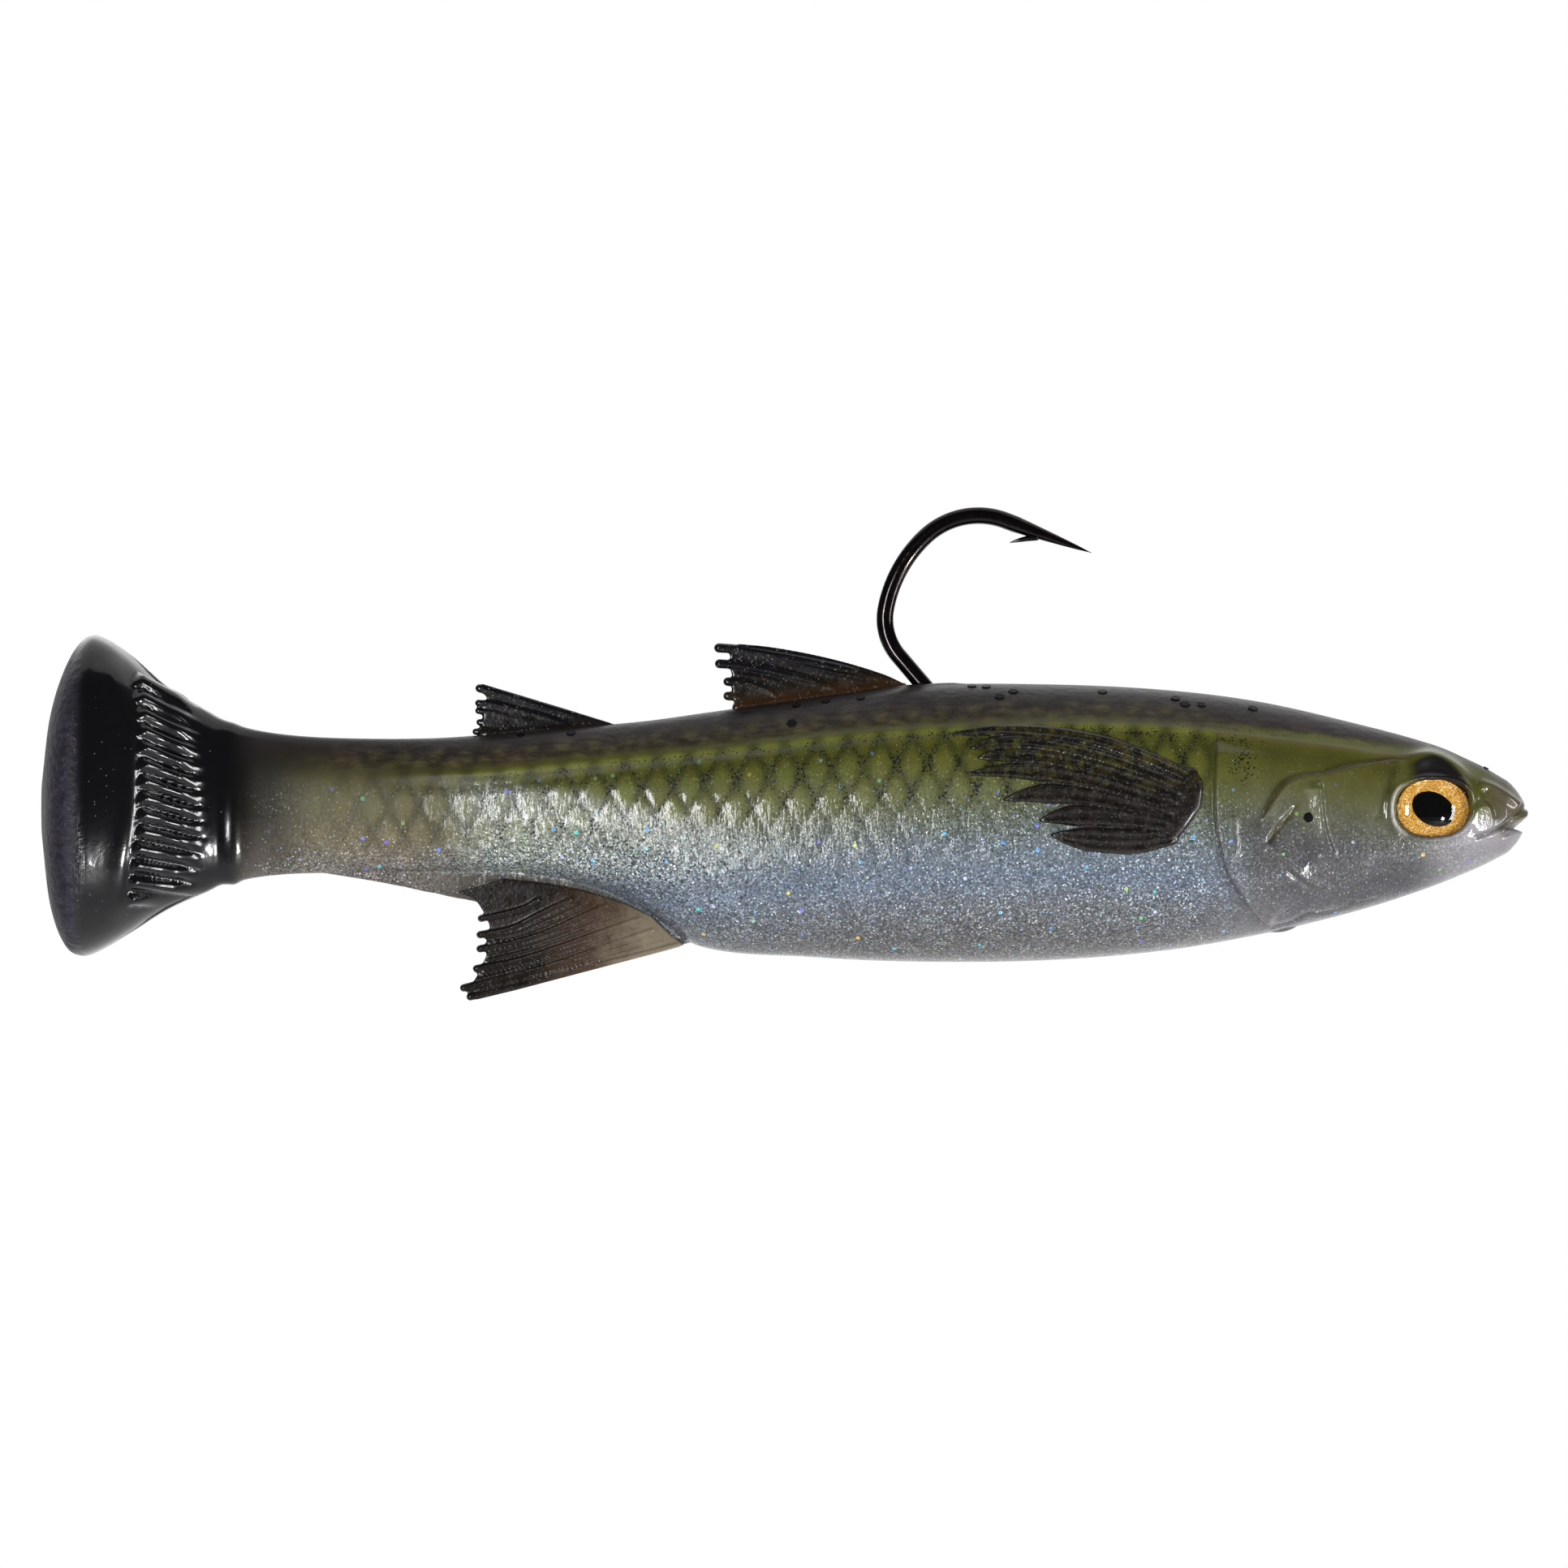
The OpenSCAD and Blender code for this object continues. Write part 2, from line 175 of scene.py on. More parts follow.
# Where one piece of skin ends and the next starts, and where the tail's round end starts
HEAD_END, TRUNK_END, STEM_END, ROUND_START, TAIL_END = -27, -83, -101, -121, -125.5
HEAD_STEP, TRUNK_STEP, TAIL_STEP_X, END_RINGS = 0.16, 0.25, 0.19, 44


def stations_x():
    """Where the rings stand: close together at the nose and the tail's end, where the form turns fast."""
    nose = NOSE_X - (NOSE_X - NOSE_START) * (np.linspace(0.03, 1, END_RINGS) ** 2)
    head = np.arange(NOSE_START - HEAD_STEP, HEAD_END, -HEAD_STEP)
    trunk = np.arange(HEAD_END, STEM_END, -TRUNK_STEP)
    tail = np.arange(STEM_END, ROUND_START, -TAIL_STEP_X)
    end = TAIL_END + 4.4 * (np.linspace(1, 0.06, END_RINGS) ** 2)
    return np.concatenate([nose, head, trunk, tail, end])


def skin_grid():
    """The smooth body as a grid of points, (ring, place round it, xyz), from the back down the right side."""
    xs = stations_x()
    grid = np.zeros((len(xs), RING, 3))
    grid[:, :, 0] = xs[:, None]
    for i, x in enumerate(xs):
        side = half_section(x)
        grid[i, : HALF + 1, 1:] = side * (-1, 1)
        grid[i, HALF + 1:, 1:] = side[1:-1][::-1]
    return grid


def grid_normals(grid):
    """Outward normals of the grid."""
    round_ = np.roll(grid, -1, 1) - np.roll(grid, 1, 1)
    along = np.gradient(grid, axis=0)
    n = np.cross(round_, along)
    length = np.linalg.norm(n, axis=2, keepdims=True)
    n = n / np.maximum(length, 1e-9)
    outward = np.sign(np.sum(n[len(n) // 2, HALF // 2] * (0, -1, 0)))
    return n * outward


# --- Relief on the side of the body, in the side view's x and z -------------------------------------

def spline(points, steps=8):
    """A smooth path through given points."""
    p = np.array(points, float)
    ext = np.vstack([2 * p[0] - p[1], p, 2 * p[-1] - p[-2]])
    out = []
    for i in range(1, len(ext) - 2):
        a, b, c, d = ext[i - 1: i + 3]
        for t in np.arange(steps) / steps:
            out.append(0.5 * (2 * b + (c - a) * t + (2 * a - 5 * b + 4 * c - d) * t**2
                              + (3 * b - a - 3 * c + d) * t**3))
    return np.array(out + [p[-1]])


class Line:
    """A path in the side view. After at(x, z) it holds each point's distance, signed to the path's left, and its
    place along the path, from 0 to 1."""

    def __init__(self, *points):
        self.path = spline(points)

    def at(self, x, z):
        best = np.full(x.shape, 1e9)
        self.side = np.zeros(x.shape)
        self.along = np.zeros(x.shape)
        steps = np.diff(self.path, axis=0)
        for i, (a, d) in enumerate(zip(self.path[:-1], steps)):
            px, pz = x - a[0], z - a[1]
            t = np.clip((px * d[0] + pz * d[1]) / (d @ d), 0, 1)
            dist = np.hypot(px - t * d[0], pz - t * d[1])
            near = dist < best
            best = np.where(near, dist, best)
            self.side = np.where(near, np.sign(d[0] * pz - d[1] * px), self.side)
            self.along = np.where(near, (i + t) / len(steps), self.along)
        self.far = best
        self.signed = best * np.where(self.side == 0, 1, self.side)
        self.inside = smooth(0, 0.12, self.along) * smooth(1, 0.88, self.along)
        return self


GILL = Line((-25.3, 7.9), (-25.6, 5.5), (-25.65, 3.2), (-25.6, 0.6), (-25.1, -1.8), (-24.5, -3.8),
            (-23.3, -5.7),
            (-22.0, -7.3), (-20.4, -8.5))
THROAT = Line((-20.4, -8.5), (-18.8, -8.0), (-17.6, -7.4), (-15.6, -7.2), (-13.0, -6.3))
GILL_FOLD = Line((-24.1, 1.2), (-23.95, -0.6), (-23.9, -2.6))
CHEEK_TOP = Line((-21.9, 0.2), (-21.2, 1.5), (-20.4, 2.8), (-19.4, 3.9), (-18.1, 4.35), (-16.1, 4.6),
                 (-13.5, 5.3),
                 (-11.6, 5.55), (-10.1, 5.65), (-8.7, 5.45))
CHEEK_LOW = Line((-21.6, -1.3), (-20.2, -2.6), (-18.5, -4.1), (-16.8, -5.2), (-15.3, -5.8), (-13.5, -6.05),
                 (-11.4, -5.9))
CHEEK_LOBE = Line((-21.0, -1.2), (-20.2, 0.0), (-19.2, 1.1), (-18.5, 2.2))
CHEEK_STEP = Line((-16.7, 4.0), (-16.5, 2.2), (-16.3, 0.6), (-15.9, -1.0), (-15.2, -2.5))
EYE_BACK = Line((-10.5, 3.4), (-10.75, 1.6), (-10.45, 0.2), (-9.7, -1.0))
BROW = Line((-10.3, 5.2), (-8.7, 5.45), (-7.2, 5.85), (-5.9, 5.45), (-4.6, 4.3), (-3.9, 2.9), (-3.6, 2.0))
SNOUT_RIDGE = Line((-3.2, 3.9), (-1.6, 3.3), (-0.2, 2.4), (0.7, 1.7))
SNOUT_PIT = Line((-2.6, 3.3), (-2.0, 2.0), (-1.5, 0.6))
LIP_TOP = Line((-3.1, -0.85), (-1.9, -0.35), (-1.0, 0.1), (-0.1, 0.8), (1.3, 1.7))
LIP_FOLD = Line((-0.9, -0.15), (0.2, 0.6), (1.4, 1.25))
MOUTH = Line((0.6, -0.15), (-0.1, -0.5), (-1.1, -0.95))
TEMPLE = Line((-10.2, 5.3), (-10.9, 3.6), (-11.8, 0.3))
ROOT = Line((-70.5, -10.1), (-71.6, -9.6), (-72.7, -8.6), (-74.2, -7.2), (-76.4, -5.95), (-79.3, -4.9),
            (-82.2, -4.25),
            (-85.2, -4.0), (-88.5, -4.0), (-93, -4.0))

SNOUT_FLAT = (-2.65, 0.75)
SNOUT_FLAT_Y = 3.95

EYE = np.array((-6.94, 1.62))
EYE_HALF = np.array((3.18, 2.42))
EYE_CENTRE = np.array((-6.72, 5.12, 1.55))
EYE_TURN = math.radians(14)
EYE_RADIUS = 3.25
EYE_OVAL = (1.0, 0.8)
SOCKET_DEPTH = 1.15
FOIL_THICKNESS = 0.4
DOME_HEIGHT = 1.15
PUPIL_THICKNESS = 0.15
PUPIL_HALF = (1.95, 1.4)
PUPIL_TURN = math.radians(24)


def eye_place(x, z):
    """How far a point is from the eye's middle, where 1 is the edge of the opening between the lids."""
    u, v = (x - EYE[0]) / EYE_HALF[0], (z - EYE[1]) / EYE_HALF[1]
    return (np.abs(u) ** 2.3 + np.abs(v) ** 2.3) ** (1 / 2.3)


RIBS = 14
RIB_PITCH = 1.44


def rib(k):
    """A rib of the tail: its outer end, its slope, its length and its half height."""
    z = 12.7 - RIB_PITCH * k
    x = -117.0 - 0.9 * abs((k - 5.5) / 7.5) ** 2 - (0.25 if k > 9 else 0)
    return x, z, 0.54 - 0.033 * k, 6.3 if k < 13 else 3.2, 0.6


TAIL_STEP = Line((-119.9, 14.6), (-119.2, 13.0), (-118.4, 11.4), (-117.5, 9.4), (-117.2, 7.2), (-117.3, 4.1),
                 (-117.5, 1.3), (-118.2, -2.8), (-118.8, -6.3), (-119.5, -8.2))

SCALE_PITCH, SCALE_ROW = 2.7, 2.55


def lattice(x, z):
    """Two measures: 1 where scales meet at a corner, and 1 along their edges. Both fall to 0 within a scale."""
    below = curve(CREASE, x) - z
    a = math.pi * (x / SCALE_PITCH + below / (2 * SCALE_ROW))
    b = math.pi * (x / SCALE_PITCH - below / (2 * SCALE_ROW))
    return (np.cos(a) * np.cos(b)) ** 2, np.maximum(np.cos(a) ** 2, np.cos(b) ** 2) ** 4


ANAL_RAYS = [
    [(-88.0, -7.8), (-86.6, -7.5), (-84.4, -6.9), (-83.2, -6.2)],
    [(-88.1, -9.2), (-85.4, -8.6), (-82.8, -7.3), (-80.4, -6.2)],
    [(-88.1, -10.4), (-85.2, -9.8), (-82.2, -8.85), (-79.3, -7.5), (-77.3, -6.7)],
    [(-88.4, -12.1), (-84.7, -11.3), (-80.8, -10.0), (-75.7, -8.2), (-74.5, -7.8)],
    [(-89.5, -13.75), (-86.6, -12.95), (-82.2, -11.8), (-77.9, -10.3), (-73.4, -8.8)],
    [(-88.95, -14.5), (-85.1, -13.6), (-79.3, -12.05), (-73.5, -10.6), (-71.2, -10.0)],
]


def relief(x, y, z):
    """Height of the moulded detail above the smooth body."""
    d = np.zeros(x.shape)
    below = curve(CREASE, x) - z
    head = smooth(-30, -22, x)

    # gill cover, with its fold and the throat's
    g = GILL.at(x, z)
    edge = smooth(-0.12, 0.12, g.signed)
    top = smooth(0.0, 0.1, g.along)
    lip = smooth(0.2, 0.35, g.along) * smooth(0.72, 0.6, g.along) * 0.62 * (np.clip(g.signed, 0, 0.32) - 0.32)
    d += top * edge * (0.62 * np.exp(-np.maximum(g.signed, 0) / 2.6) + lip) * smooth(1.0, 0.93, g.along)
    d -= top * 0.06 * bump(np.minimum(g.signed + 0.1, 0), 0.15) * (1 - edge)
    t = THROAT.at(x, z)
    d -= 0.12 * bump(t.far, 0.2) * smooth(1, 0.7, t.along)
    d += 0.02 * bump(t.signed - 0.5, 0.4) * t.inside
    f = GILL_FOLD.at(x, z)
    d += 0.18 * bump(f.far, 0.4) * f.inside

    # cheek plate
    c = CHEEK_TOP.at(x, z)
    plate = smooth(0.08, -0.12, c.signed)
    d += 0.46 * plate * np.exp(-np.maximum(-c.signed, 0) / 1.7) * c.inside
    d -= 0.06 * bump(np.maximum(c.signed - 0.12, 0), 0.2) * (1 - plate) * c.inside
    c = CHEEK_LOW.at(x, z)
    plate = smooth(-0.08, 0.12, c.signed)
    d += 0.46 * plate * np.exp(-np.maximum(c.signed, 0) / 1.7) * c.inside
    d -= 0.12 * bump(np.maximum(-c.signed - 0.12, 0), 0.3) * (1 - plate) * c.inside
    c = CHEEK_LOBE.at(x, z)
    d -= 0.24 * bump(c.far, 0.24) * smooth(1, 0.6, c.along)
    c = CHEEK_STEP.at(x, z)
    reach = np.interp(c.along, [0, 0.5, 1], [1.5, 1.1, 0.8])
    facet = (0.41 * np.maximum(reach + np.minimum(c.signed, 0), 0) + 0.022 * (z - 0.9) ** 2
             * smooth(-2.2, -1.4, c.signed))
    d += facet * smooth(0.14, -0.1, c.signed) * smooth(0, 0.12, c.along) * smooth(1, 0.85, c.along)
    c = TEMPLE.at(x, z)
    d -= 0.07 * bump(c.far, 0.35) * c.inside

    # brow, lids and the hollow that the eye sits in
    b = BROW.at(x, z)
    d += 0.42 * bump(b.far, 0.75) * smooth(0.0, 0.25, b.along) * smooth(1.0, 0.8, b.along)
    e = EYE_BACK.at(x, z)
    d += 0.2 * bump(e.signed + 0.1, 0.26) * e.inside
    r = eye_place(x, z)
    d += 0.15 * bump(r - 1.1, 0.085) * (x > -14)

    # snout and lips
    front = smooth(-5, -2, x)
    s = SNOUT_RIDGE.at(x, z)
    d += 0.26 * bump(s.far, 0.36) * s.inside
    s = SNOUT_PIT.at(x, z)
    d -= 0.16 * bump(s.far, 0.38) * s.inside * front
    s = LIP_TOP.at(x, z)
    d -= 0.15 * bump(s.far, 0.17) * front
    d += 0.1 * bump(s.signed + 0.42, 0.3) * front * smooth(0, 0.3, s.along)
    s = LIP_FOLD.at(x, z)
    d -= 0.11 * bump(s.far, 0.15) * front * s.inside
    s = MOUTH.at(x, z)
    d -= 0.34 * bump(s.far, 0.16) * smooth(1.0, 0.6, s.along)

    # the flat of the snout beside the eye
    flat = SNOUT_FLAT_Y - 0.41 * (x - SNOUT_FLAT[0]) + 0.24 * (z - SNOUT_FLAT[1])
    near = smooth(1.25, 0.8, np.hypot((x - SNOUT_FLAT[0]) / 0.95, (z - SNOUT_FLAT[1]) / 1.25))
    d = d * (1 - near) + (flat - np.abs(y)) * 0.93 * near

    # the long crease, the scales and the hook's slit
    long_crease = smooth(-98, -88, x) * smooth(-3, -8, x)
    d += (0.13 * bump(below, 0.45) + 0.05 * head * bump(below, 0.13)) * long_crease
    d -= 0.1 * bump(below - 0.9, 0.6) * long_crease
    node, net = lattice(x, z)
    scaled = smooth(-2.4, -1.6, below) * smooth(-26, -27.5, x) * smooth(-99, -90, x) * smooth(-10.0, -7.5, z)
    d -= 0.03 * (net + 0.6 * node) * scaled * smooth(0.35, 1.1, np.abs(below))
    slit = np.abs(y) - 0.16 - 0.62 * bump(x + 50.25, 0.95)
    d -= 1.5 * smooth(0.16, -0.1, slit) * smooth(-54.3, -53.6, x) * smooth(-46.6, -47.3, x) * (z > 8)
    d += 0.12 * bump(slit - 0.55, 0.45) * smooth(-54.6, -53, x) * smooth(-46.2, -48, x) * (z > 8)

    # the keel: its edge against the flank, and the fin rays that start on it
    c = ROOT.at(x, z)
    d += 0.1 * bump(c.signed - 0.3, 0.35) * smooth(0.02, 0.1, c.along) * smooth(1, 0.75, c.along) * (z < -3)
    d -= 0.09 * bump(c.signed + 0.3, 0.35) * smooth(0.02, 0.1, c.along) * smooth(1, 0.75, c.along) * (z < -3)

    # tail: the neck's ring, the ribs and the step behind them
    d += (0.2 * bump(x + 109.1, 0.55) - 0.12 * bump(x + 110.3, 0.6)) * (0.35 + 0.65 * smooth(4, 0, z))
    flare = (x < -108) & (np.abs(y) > 1.0)
    ribbed = np.zeros(x.shape)
    for k in range(RIBS):
        x0, z0, slope, length, half = rib(k)
        norm = math.hypot(1, slope)
        u = ((x - x0) - slope * (z - z0)) / norm
        v = ((z - z0) + slope * (x - x0)) / norm
        across = np.clip(1 - (v / half) ** 2, 0, 1) ** 0.75
        ends = smooth(-0.1, 0.45, u) * smooth(length, length - 3.0, u)
        ribbed = np.maximum(ribbed, across * ends)
    d += flare * (0.6 * ribbed - 0.12 * bump(x + 115.2, 2.6))
    c = TAIL_STEP.at(x, z)
    d += flare * 0.22 * bump(c.signed, 1.0) * c.inside * (1 - ribbed)
    return d


def carve_head(grid, smooth_grid):
    """The parts of the head that go deeper than relief: the eye's hollow, the mouth and the line's way in."""
    x, y, z = (smooth_grid[:, :, i] for i in range(3))
    side = np.where(y < 0, RIGHT, LEFT)
    r = eye_place(x, z)
    axis = np.stack([np.full(x.shape, math.sin(EYE_TURN)), side * math.cos(EYE_TURN), np.zeros(x.shape)], 2)
    centre = EYE_CENTRE * np.stack([np.ones(x.shape), side, np.ones(x.shape)], 2)
    height = np.sum((grid - centre) * axis, 2)
    floor = -SOCKET_DEPTH + FOIL_THICKNESS - 0.14
    near = (np.abs(y) > 1.5) & (x > -14) & (x < -1)
    sunk = smooth(1.03, 0.97, r) * near
    grid[:, :, 1] += side * np.minimum(floor - height, 0) * sunk / math.cos(EYE_TURN)

    ahead = smooth(-0.9, 0.3, x)
    cut = np.interp(z, [-0.44, -0.3, -0.18, -0.1, 0.9, 1.1], [0.0, 0.3, 0.9, 0.86, 0.04, 0.0])
    grid[:, :, 0] -= cut * ahead
    bore = np.hypot(y, z)
    mouth = smooth(0.86, 0.76, bore) * (x > -0.5)
    grid[:, :, 0] = grid[:, :, 0] * (1 - mouth) + np.minimum(grid[:, :, 0], -0.12) * mouth


# --- Paint: the cast colours, with some painted highlights and shade, which the materials then add grain, glitter and flakes to ---

EXPOSURE = 0.87


def srgb(r, g, b):
    """A colour of 0 to 255 as linear light."""
    c = np.array([r, g, b], float) / 255
    return np.where(c <= 0.04045, c / 12.92, ((c + 0.055) / 1.055) ** 2.4)


def ramp(v, *stops):
    """Colours between stops of (value, (r, g, b)), with the values falling or rising."""
    stops = sorted(stops, key=lambda s: s[0])
    places = [s[0] for s in stops]
    colours = np.array([srgb(*s[1]) for s in stops])
    return np.stack([np.interp(v, places, colours[:, i]) for i in range(3)], -1)


def mixed(a, b, t):
    """a where t is 0 and b where it is 1."""
    return a * (1 - t[..., None]) + b * t[..., None]


def paint(x, y, z):
    """Colour, with its painted highlights and shade, and the amounts of pores, glitter and gloss, at each point of
    the skin.
    """
    up = z - curve(CREASE, x)
    trunk = ramp(up, (4.0, (38, 31, 31)), (2.4, (50, 42, 42)), (1.0, (62, 55, 38)), (0.35, (84, 84, 34)),
                 (0.0, (112, 116, 50)),
                 (-0.4, (80, 82, 26)), (-2.0, (90, 93, 32)), (-3.8, (98, 101, 44)), (-5.6, (106, 109, 66)),
                 (-8.0, (118, 124, 112)),
                 (-10.2, (124, 132, 138)), (-12.6, (122, 131, 144)), (-15, (120, 122, 126)),
                 (-18, (116, 114, 112)))
    head = ramp(up, (3.2, (50, 42, 46)), (1.5, (54, 46, 46)), (1.05, (60, 54, 32)), (0.8, (88, 92, 26)),
                (0.15, (98, 102, 30)), (-0.1, (84, 84, 34)), (-0.6, (80, 80, 24)),
                (-2.2, (88, 88, 36)), (-4.0, (96, 97, 56)), (-6.0, (102, 103, 84)), (-8.5, (90, 90, 91)),
                (-11, (88, 87, 89)),
                (-15, (110, 108, 111)))
    stem = ramp(z, (7.6, (42, 36, 36)), (6.2, (52, 45, 38)), (5.0, (58, 54, 26)), (4.0, (80, 76, 38)),
                (2.0, (96, 92, 56)),
                (0.5, (98, 92, 60)), (-1.2, (118, 110, 88)), (-2.8, (136, 128, 116)), (-4.0, (128, 120, 112)))
    neck = ramp(z, (7.6, (44, 40, 40)), (5.0, (28, 26, 18)), (1.0, (38, 35, 27)), (-2.0, (84, 78, 70)),
                (-4.0, (108, 102, 96)))
    colour = mixed(trunk, head, smooth(-27, -21, x))
    colour = mixed(colour, stem, smooth(-84, -95, x))
    colour = mixed(colour, neck, smooth(-101, -106.5, x))
    colour = mixed(colour, srgb(9, 8, 13), smooth(-106.6, -109.8, x))
    rear = smooth(-121.4, -123.2, x)
    colour = mixed(colour, srgb(50, 48, 60), rear)

    # scales: darker meeting points, paler middles
    node, net = lattice(x, z)
    scaled = smooth(3.4, 2.2, up) * smooth(-12.5, -4.0, up) * smooth(-25.0, -27, x) * smooth(-108, -90, x)
    over = smooth(0.6, -0.1, up)
    fade = 1 - 0.65 * smooth(-4.5, -7.5, up)
    colour = colour * (1 - scaled * fade * (0.16 + 0.84 * over) * (0.36 * net + 0.12 * node))[..., None]
    patch = (1 - net) * (1 - node) ** 2
    colour = mixed(colour, srgb(126, 128, 62), 0.2 * scaled * patch * bump(up - 1.3, 0.9))
    colour = colour * (1 + 0.2 * scaled * fade * patch * over)[..., None]
    # the flank's brightest part is painted paler, towards white: a painted highlight; the glitter is raised in it too
    limit = np.interp(x, (-92, -80, -72, -66, -60), (4.0, 2.8, 1.0, -0.2, -1.0))
    painted_highlight = smooth(-93, -86, x) * smooth(-60, -72, x) * smooth(0.8, -0.8, z - limit) * smooth(-5.6, -3.2, z)
    colour = mixed(colour, srgb(200, 204, 202), 0.3 * painted_highlight)
    jaw = smooth(-9, -4, x) * smooth(1.3, 0.0, z)
    colour = mixed(colour, srgb(158, 154, 158), jaw)
    colour = mixed(colour, srgb(96, 88, 74), 0.7 * smooth(-3.0, -1.0, x) * smooth(0.2, 1.0, z))
    line = bump(up, 0.13) * smooth(-26.0, -25.0, x) * smooth(-6, -9, x)
    colour = mixed(colour, srgb(116, 104, 74), 0.6 * line)

    # dark lines along the folds of the head: painted shade in their creases
    for line, width, depth in ((GILL, 0.1, 0.4), (CHEEK_TOP, 0.22, 0.24), (THROAT, 0.25, 0.4),
                               (LIP_TOP, 0.2, 0.5), (LIP_FOLD, 0.25, 0.3),
                               (CHEEK_LOBE, 0.28, 0.35), (TEMPLE, 0.45, 0.25), (EYE_BACK, 0.5, 0.3)):
        c = line.at(x, z)
        colour = colour * (1 - depth * bump(c.far, width) * smooth(1.0, 0.9, c.along))[..., None]
    # pale lines painted on the lower cheek's ridge and on the gill cover's edge: painted highlights
    c = CHEEK_LOW.at(x, z)
    colour = mixed(colour, srgb(158, 150, 142), 0.5 * bump(c.far, 0.13) * c.inside)
    c = GILL.at(x, z)
    colour = mixed(colour, srgb(158, 152, 144), 0.5 * bump(c.signed - 0.13, 0.1) * smooth(3.5, 1.0, z)
                   * c.inside)
    for line in (CHEEK_TOP, CHEEK_LOBE):
        c = line.at(x, z)
        colour = mixed(colour, srgb(92, 80, 28), 0.6 * bump(c.far, 0.25) * c.inside)

    # the upper lip's olive; the brow's black, partly its own colour and partly painted shade; painted shade in the
    # eye's hollow and in the mouth
    c = LIP_FOLD.at(x, z)
    colour = mixed(colour, srgb(84, 76, 48), 0.8 * bump(c.far, 0.5) * (x > -2))
    b = BROW.at(x, z)
    r = eye_place(x, z)
    # the brow's black: partly its own dark colour, partly painted shade under the brow
    brow_black_and_shade = (smooth(0.16, -0.2, b.signed) * smooth(0.08, 0.22, b.along) * smooth(2.1, 1.9, r)
             * smooth(1.7, 2.5, z) * (x > -10.5))
    colour = mixed(colour, srgb(17, 13, 16), 0.98 * brow_black_and_shade)
    # painted shade: the hollow round the eye is darkened
    colour = mixed(colour, srgb(24, 18, 12), smooth(1.03, 0.98, r) * (x > -14))
    # a white line painted round the back of the eye's rim: a painted highlight
    painted_rim_highlight = bump(r - 1.12, 0.035) * smooth(-8.8, -9.8, x) * smooth(3.9, 3.2, z) * (x > -14)
    colour = mixed(colour, srgb(222, 220, 212), 0.8 * painted_rim_highlight)
    # painted shade: the mouth's opening is darkened
    colour = mixed(colour, srgb(30, 25, 18), smooth(0.95, 0.8, np.hypot(y, z)) * (x > -1))

    # the keel darkens to the anal fin's colour
    c = ROOT.at(x, z)
    keel = smooth(-0.3, 0.35, c.signed) * (z < -3) * smooth(-96, -89, x) * smooth(-70.4, -71.2, x)
    web_colour = ramp(x, (-71, (112, 108, 98)), (-75, (84, 77, 66)), (-80, (84, 78, 74)),
                      (-88, (86, 78, 70)), (-96, (104, 96, 86)))
    colour = mixed(colour, web_colour, keel)

    pores = ((0.14 + 0.4 * node + 0.6 * net) * smooth(0.1, -0.3, up) * smooth(-8.5, -5.5, up)
             * smooth(-25.5, -28, x))
    pores = pores * (0.55 + 0.45 * smooth(-91, -84, x)) * smooth(-106, -100, x)
    pores = np.maximum(pores, 0.8 * bump(up + 0.35, 0.45) * smooth(-96, -84, x) * smooth(-19, -23, x))
    pores = np.maximum(pores, 0.75 * bump(up - 0.5, 0.35) * smooth(-16, -21, x) * smooth(-34, -28, x))
    pores = np.maximum(pores, 0.95 * bump((x + 23.2) / 1.9, 1) * bump((z - 5.6) / 2.6, 1) * (x > -25.2))
    pores = np.maximum(pores, 0.6 * bump((x + 27.6) / 2.0, 1) * bump((z - 6.6) / 1.6, 1))
    glitter = (smooth(0.5, -2.0, up) * (0.2 + 0.8 * smooth(-3.5, -8.5, up) + 0.45 * painted_highlight)
               * smooth(-109.5, -104, x))
    glitter = glitter * (1 - 0.6 * smooth(-28, -22, x)) * (1 - 0.6 * keel) * (1 - brow_black_and_shade)
    back = smooth(0.1, 1.3, up) * smooth(-104, -98, x)
    return (colour * EXPOSURE, np.stack([pores, glitter, smooth(-106, -110, x)], -1),
            np.stack([back, rear, painted_highlight], -1))


# --- Meshes -----------------------------------------------------------------------------------------

def new_object(name, points, faces, smooth_shading=True):
    """A mesh object from points in millimetres."""
    mesh = bpy.data.meshes.new(name)
    mesh.from_pydata([tuple(p) for p in np.asarray(points) * MM], [], [tuple(f) for f in faces])
    mesh.validate()
    if smooth_shading:
        mesh.shade_smooth()
    obj = bpy.data.objects.new(name, mesh)
    bpy.context.scene.collection.objects.link(obj)
    return obj


def store(obj, name, kind, values):
    """Keeps a colour or a vector per point, for the materials."""
    values = np.asarray(values, np.float32)
    if kind == "FLOAT_COLOR":
        values = np.concatenate([values, np.ones((len(values), 1), np.float32)], 1)
    layer = obj.data.attributes.new(name, kind, "POINT")
    layer.data.foreach_set("color" if kind == "FLOAT_COLOR" else "vector", values.ravel())


def keep_rest(obj):
    """Stores where each point is at rest, in millimetres, so that the materials' patterns don't slide in a pose."""
    co = np.zeros(len(obj.data.vertices) * 3, np.float32)
    obj.data.vertices.foreach_get("co", co)
    store(obj, "rest", "FLOAT_VECTOR", co.reshape(-1, 3) / MM)


def bands(rings, count, start=0, wrap=False):
    """Four-sided faces between neighbouring rings of count points. wrap joins the last ring to the first."""
    faces = []
    for j in range(rings if wrap else rings - 1):
        a, b = start + j * count, start + (j + 1) % rings * count
        faces += [(a + i, a + (i + 1) % count, b + (i + 1) % count, b + i) for i in range(count)]
    return faces


def joined(parts):
    """The points and faces of several shapes as one."""
    points, faces, start = [], [], 0
    for p, f in parts:
        points.append(p)
        faces += [tuple(i + start for i in face) for face in f]
        start += len(p)
    return np.vstack(points), faces


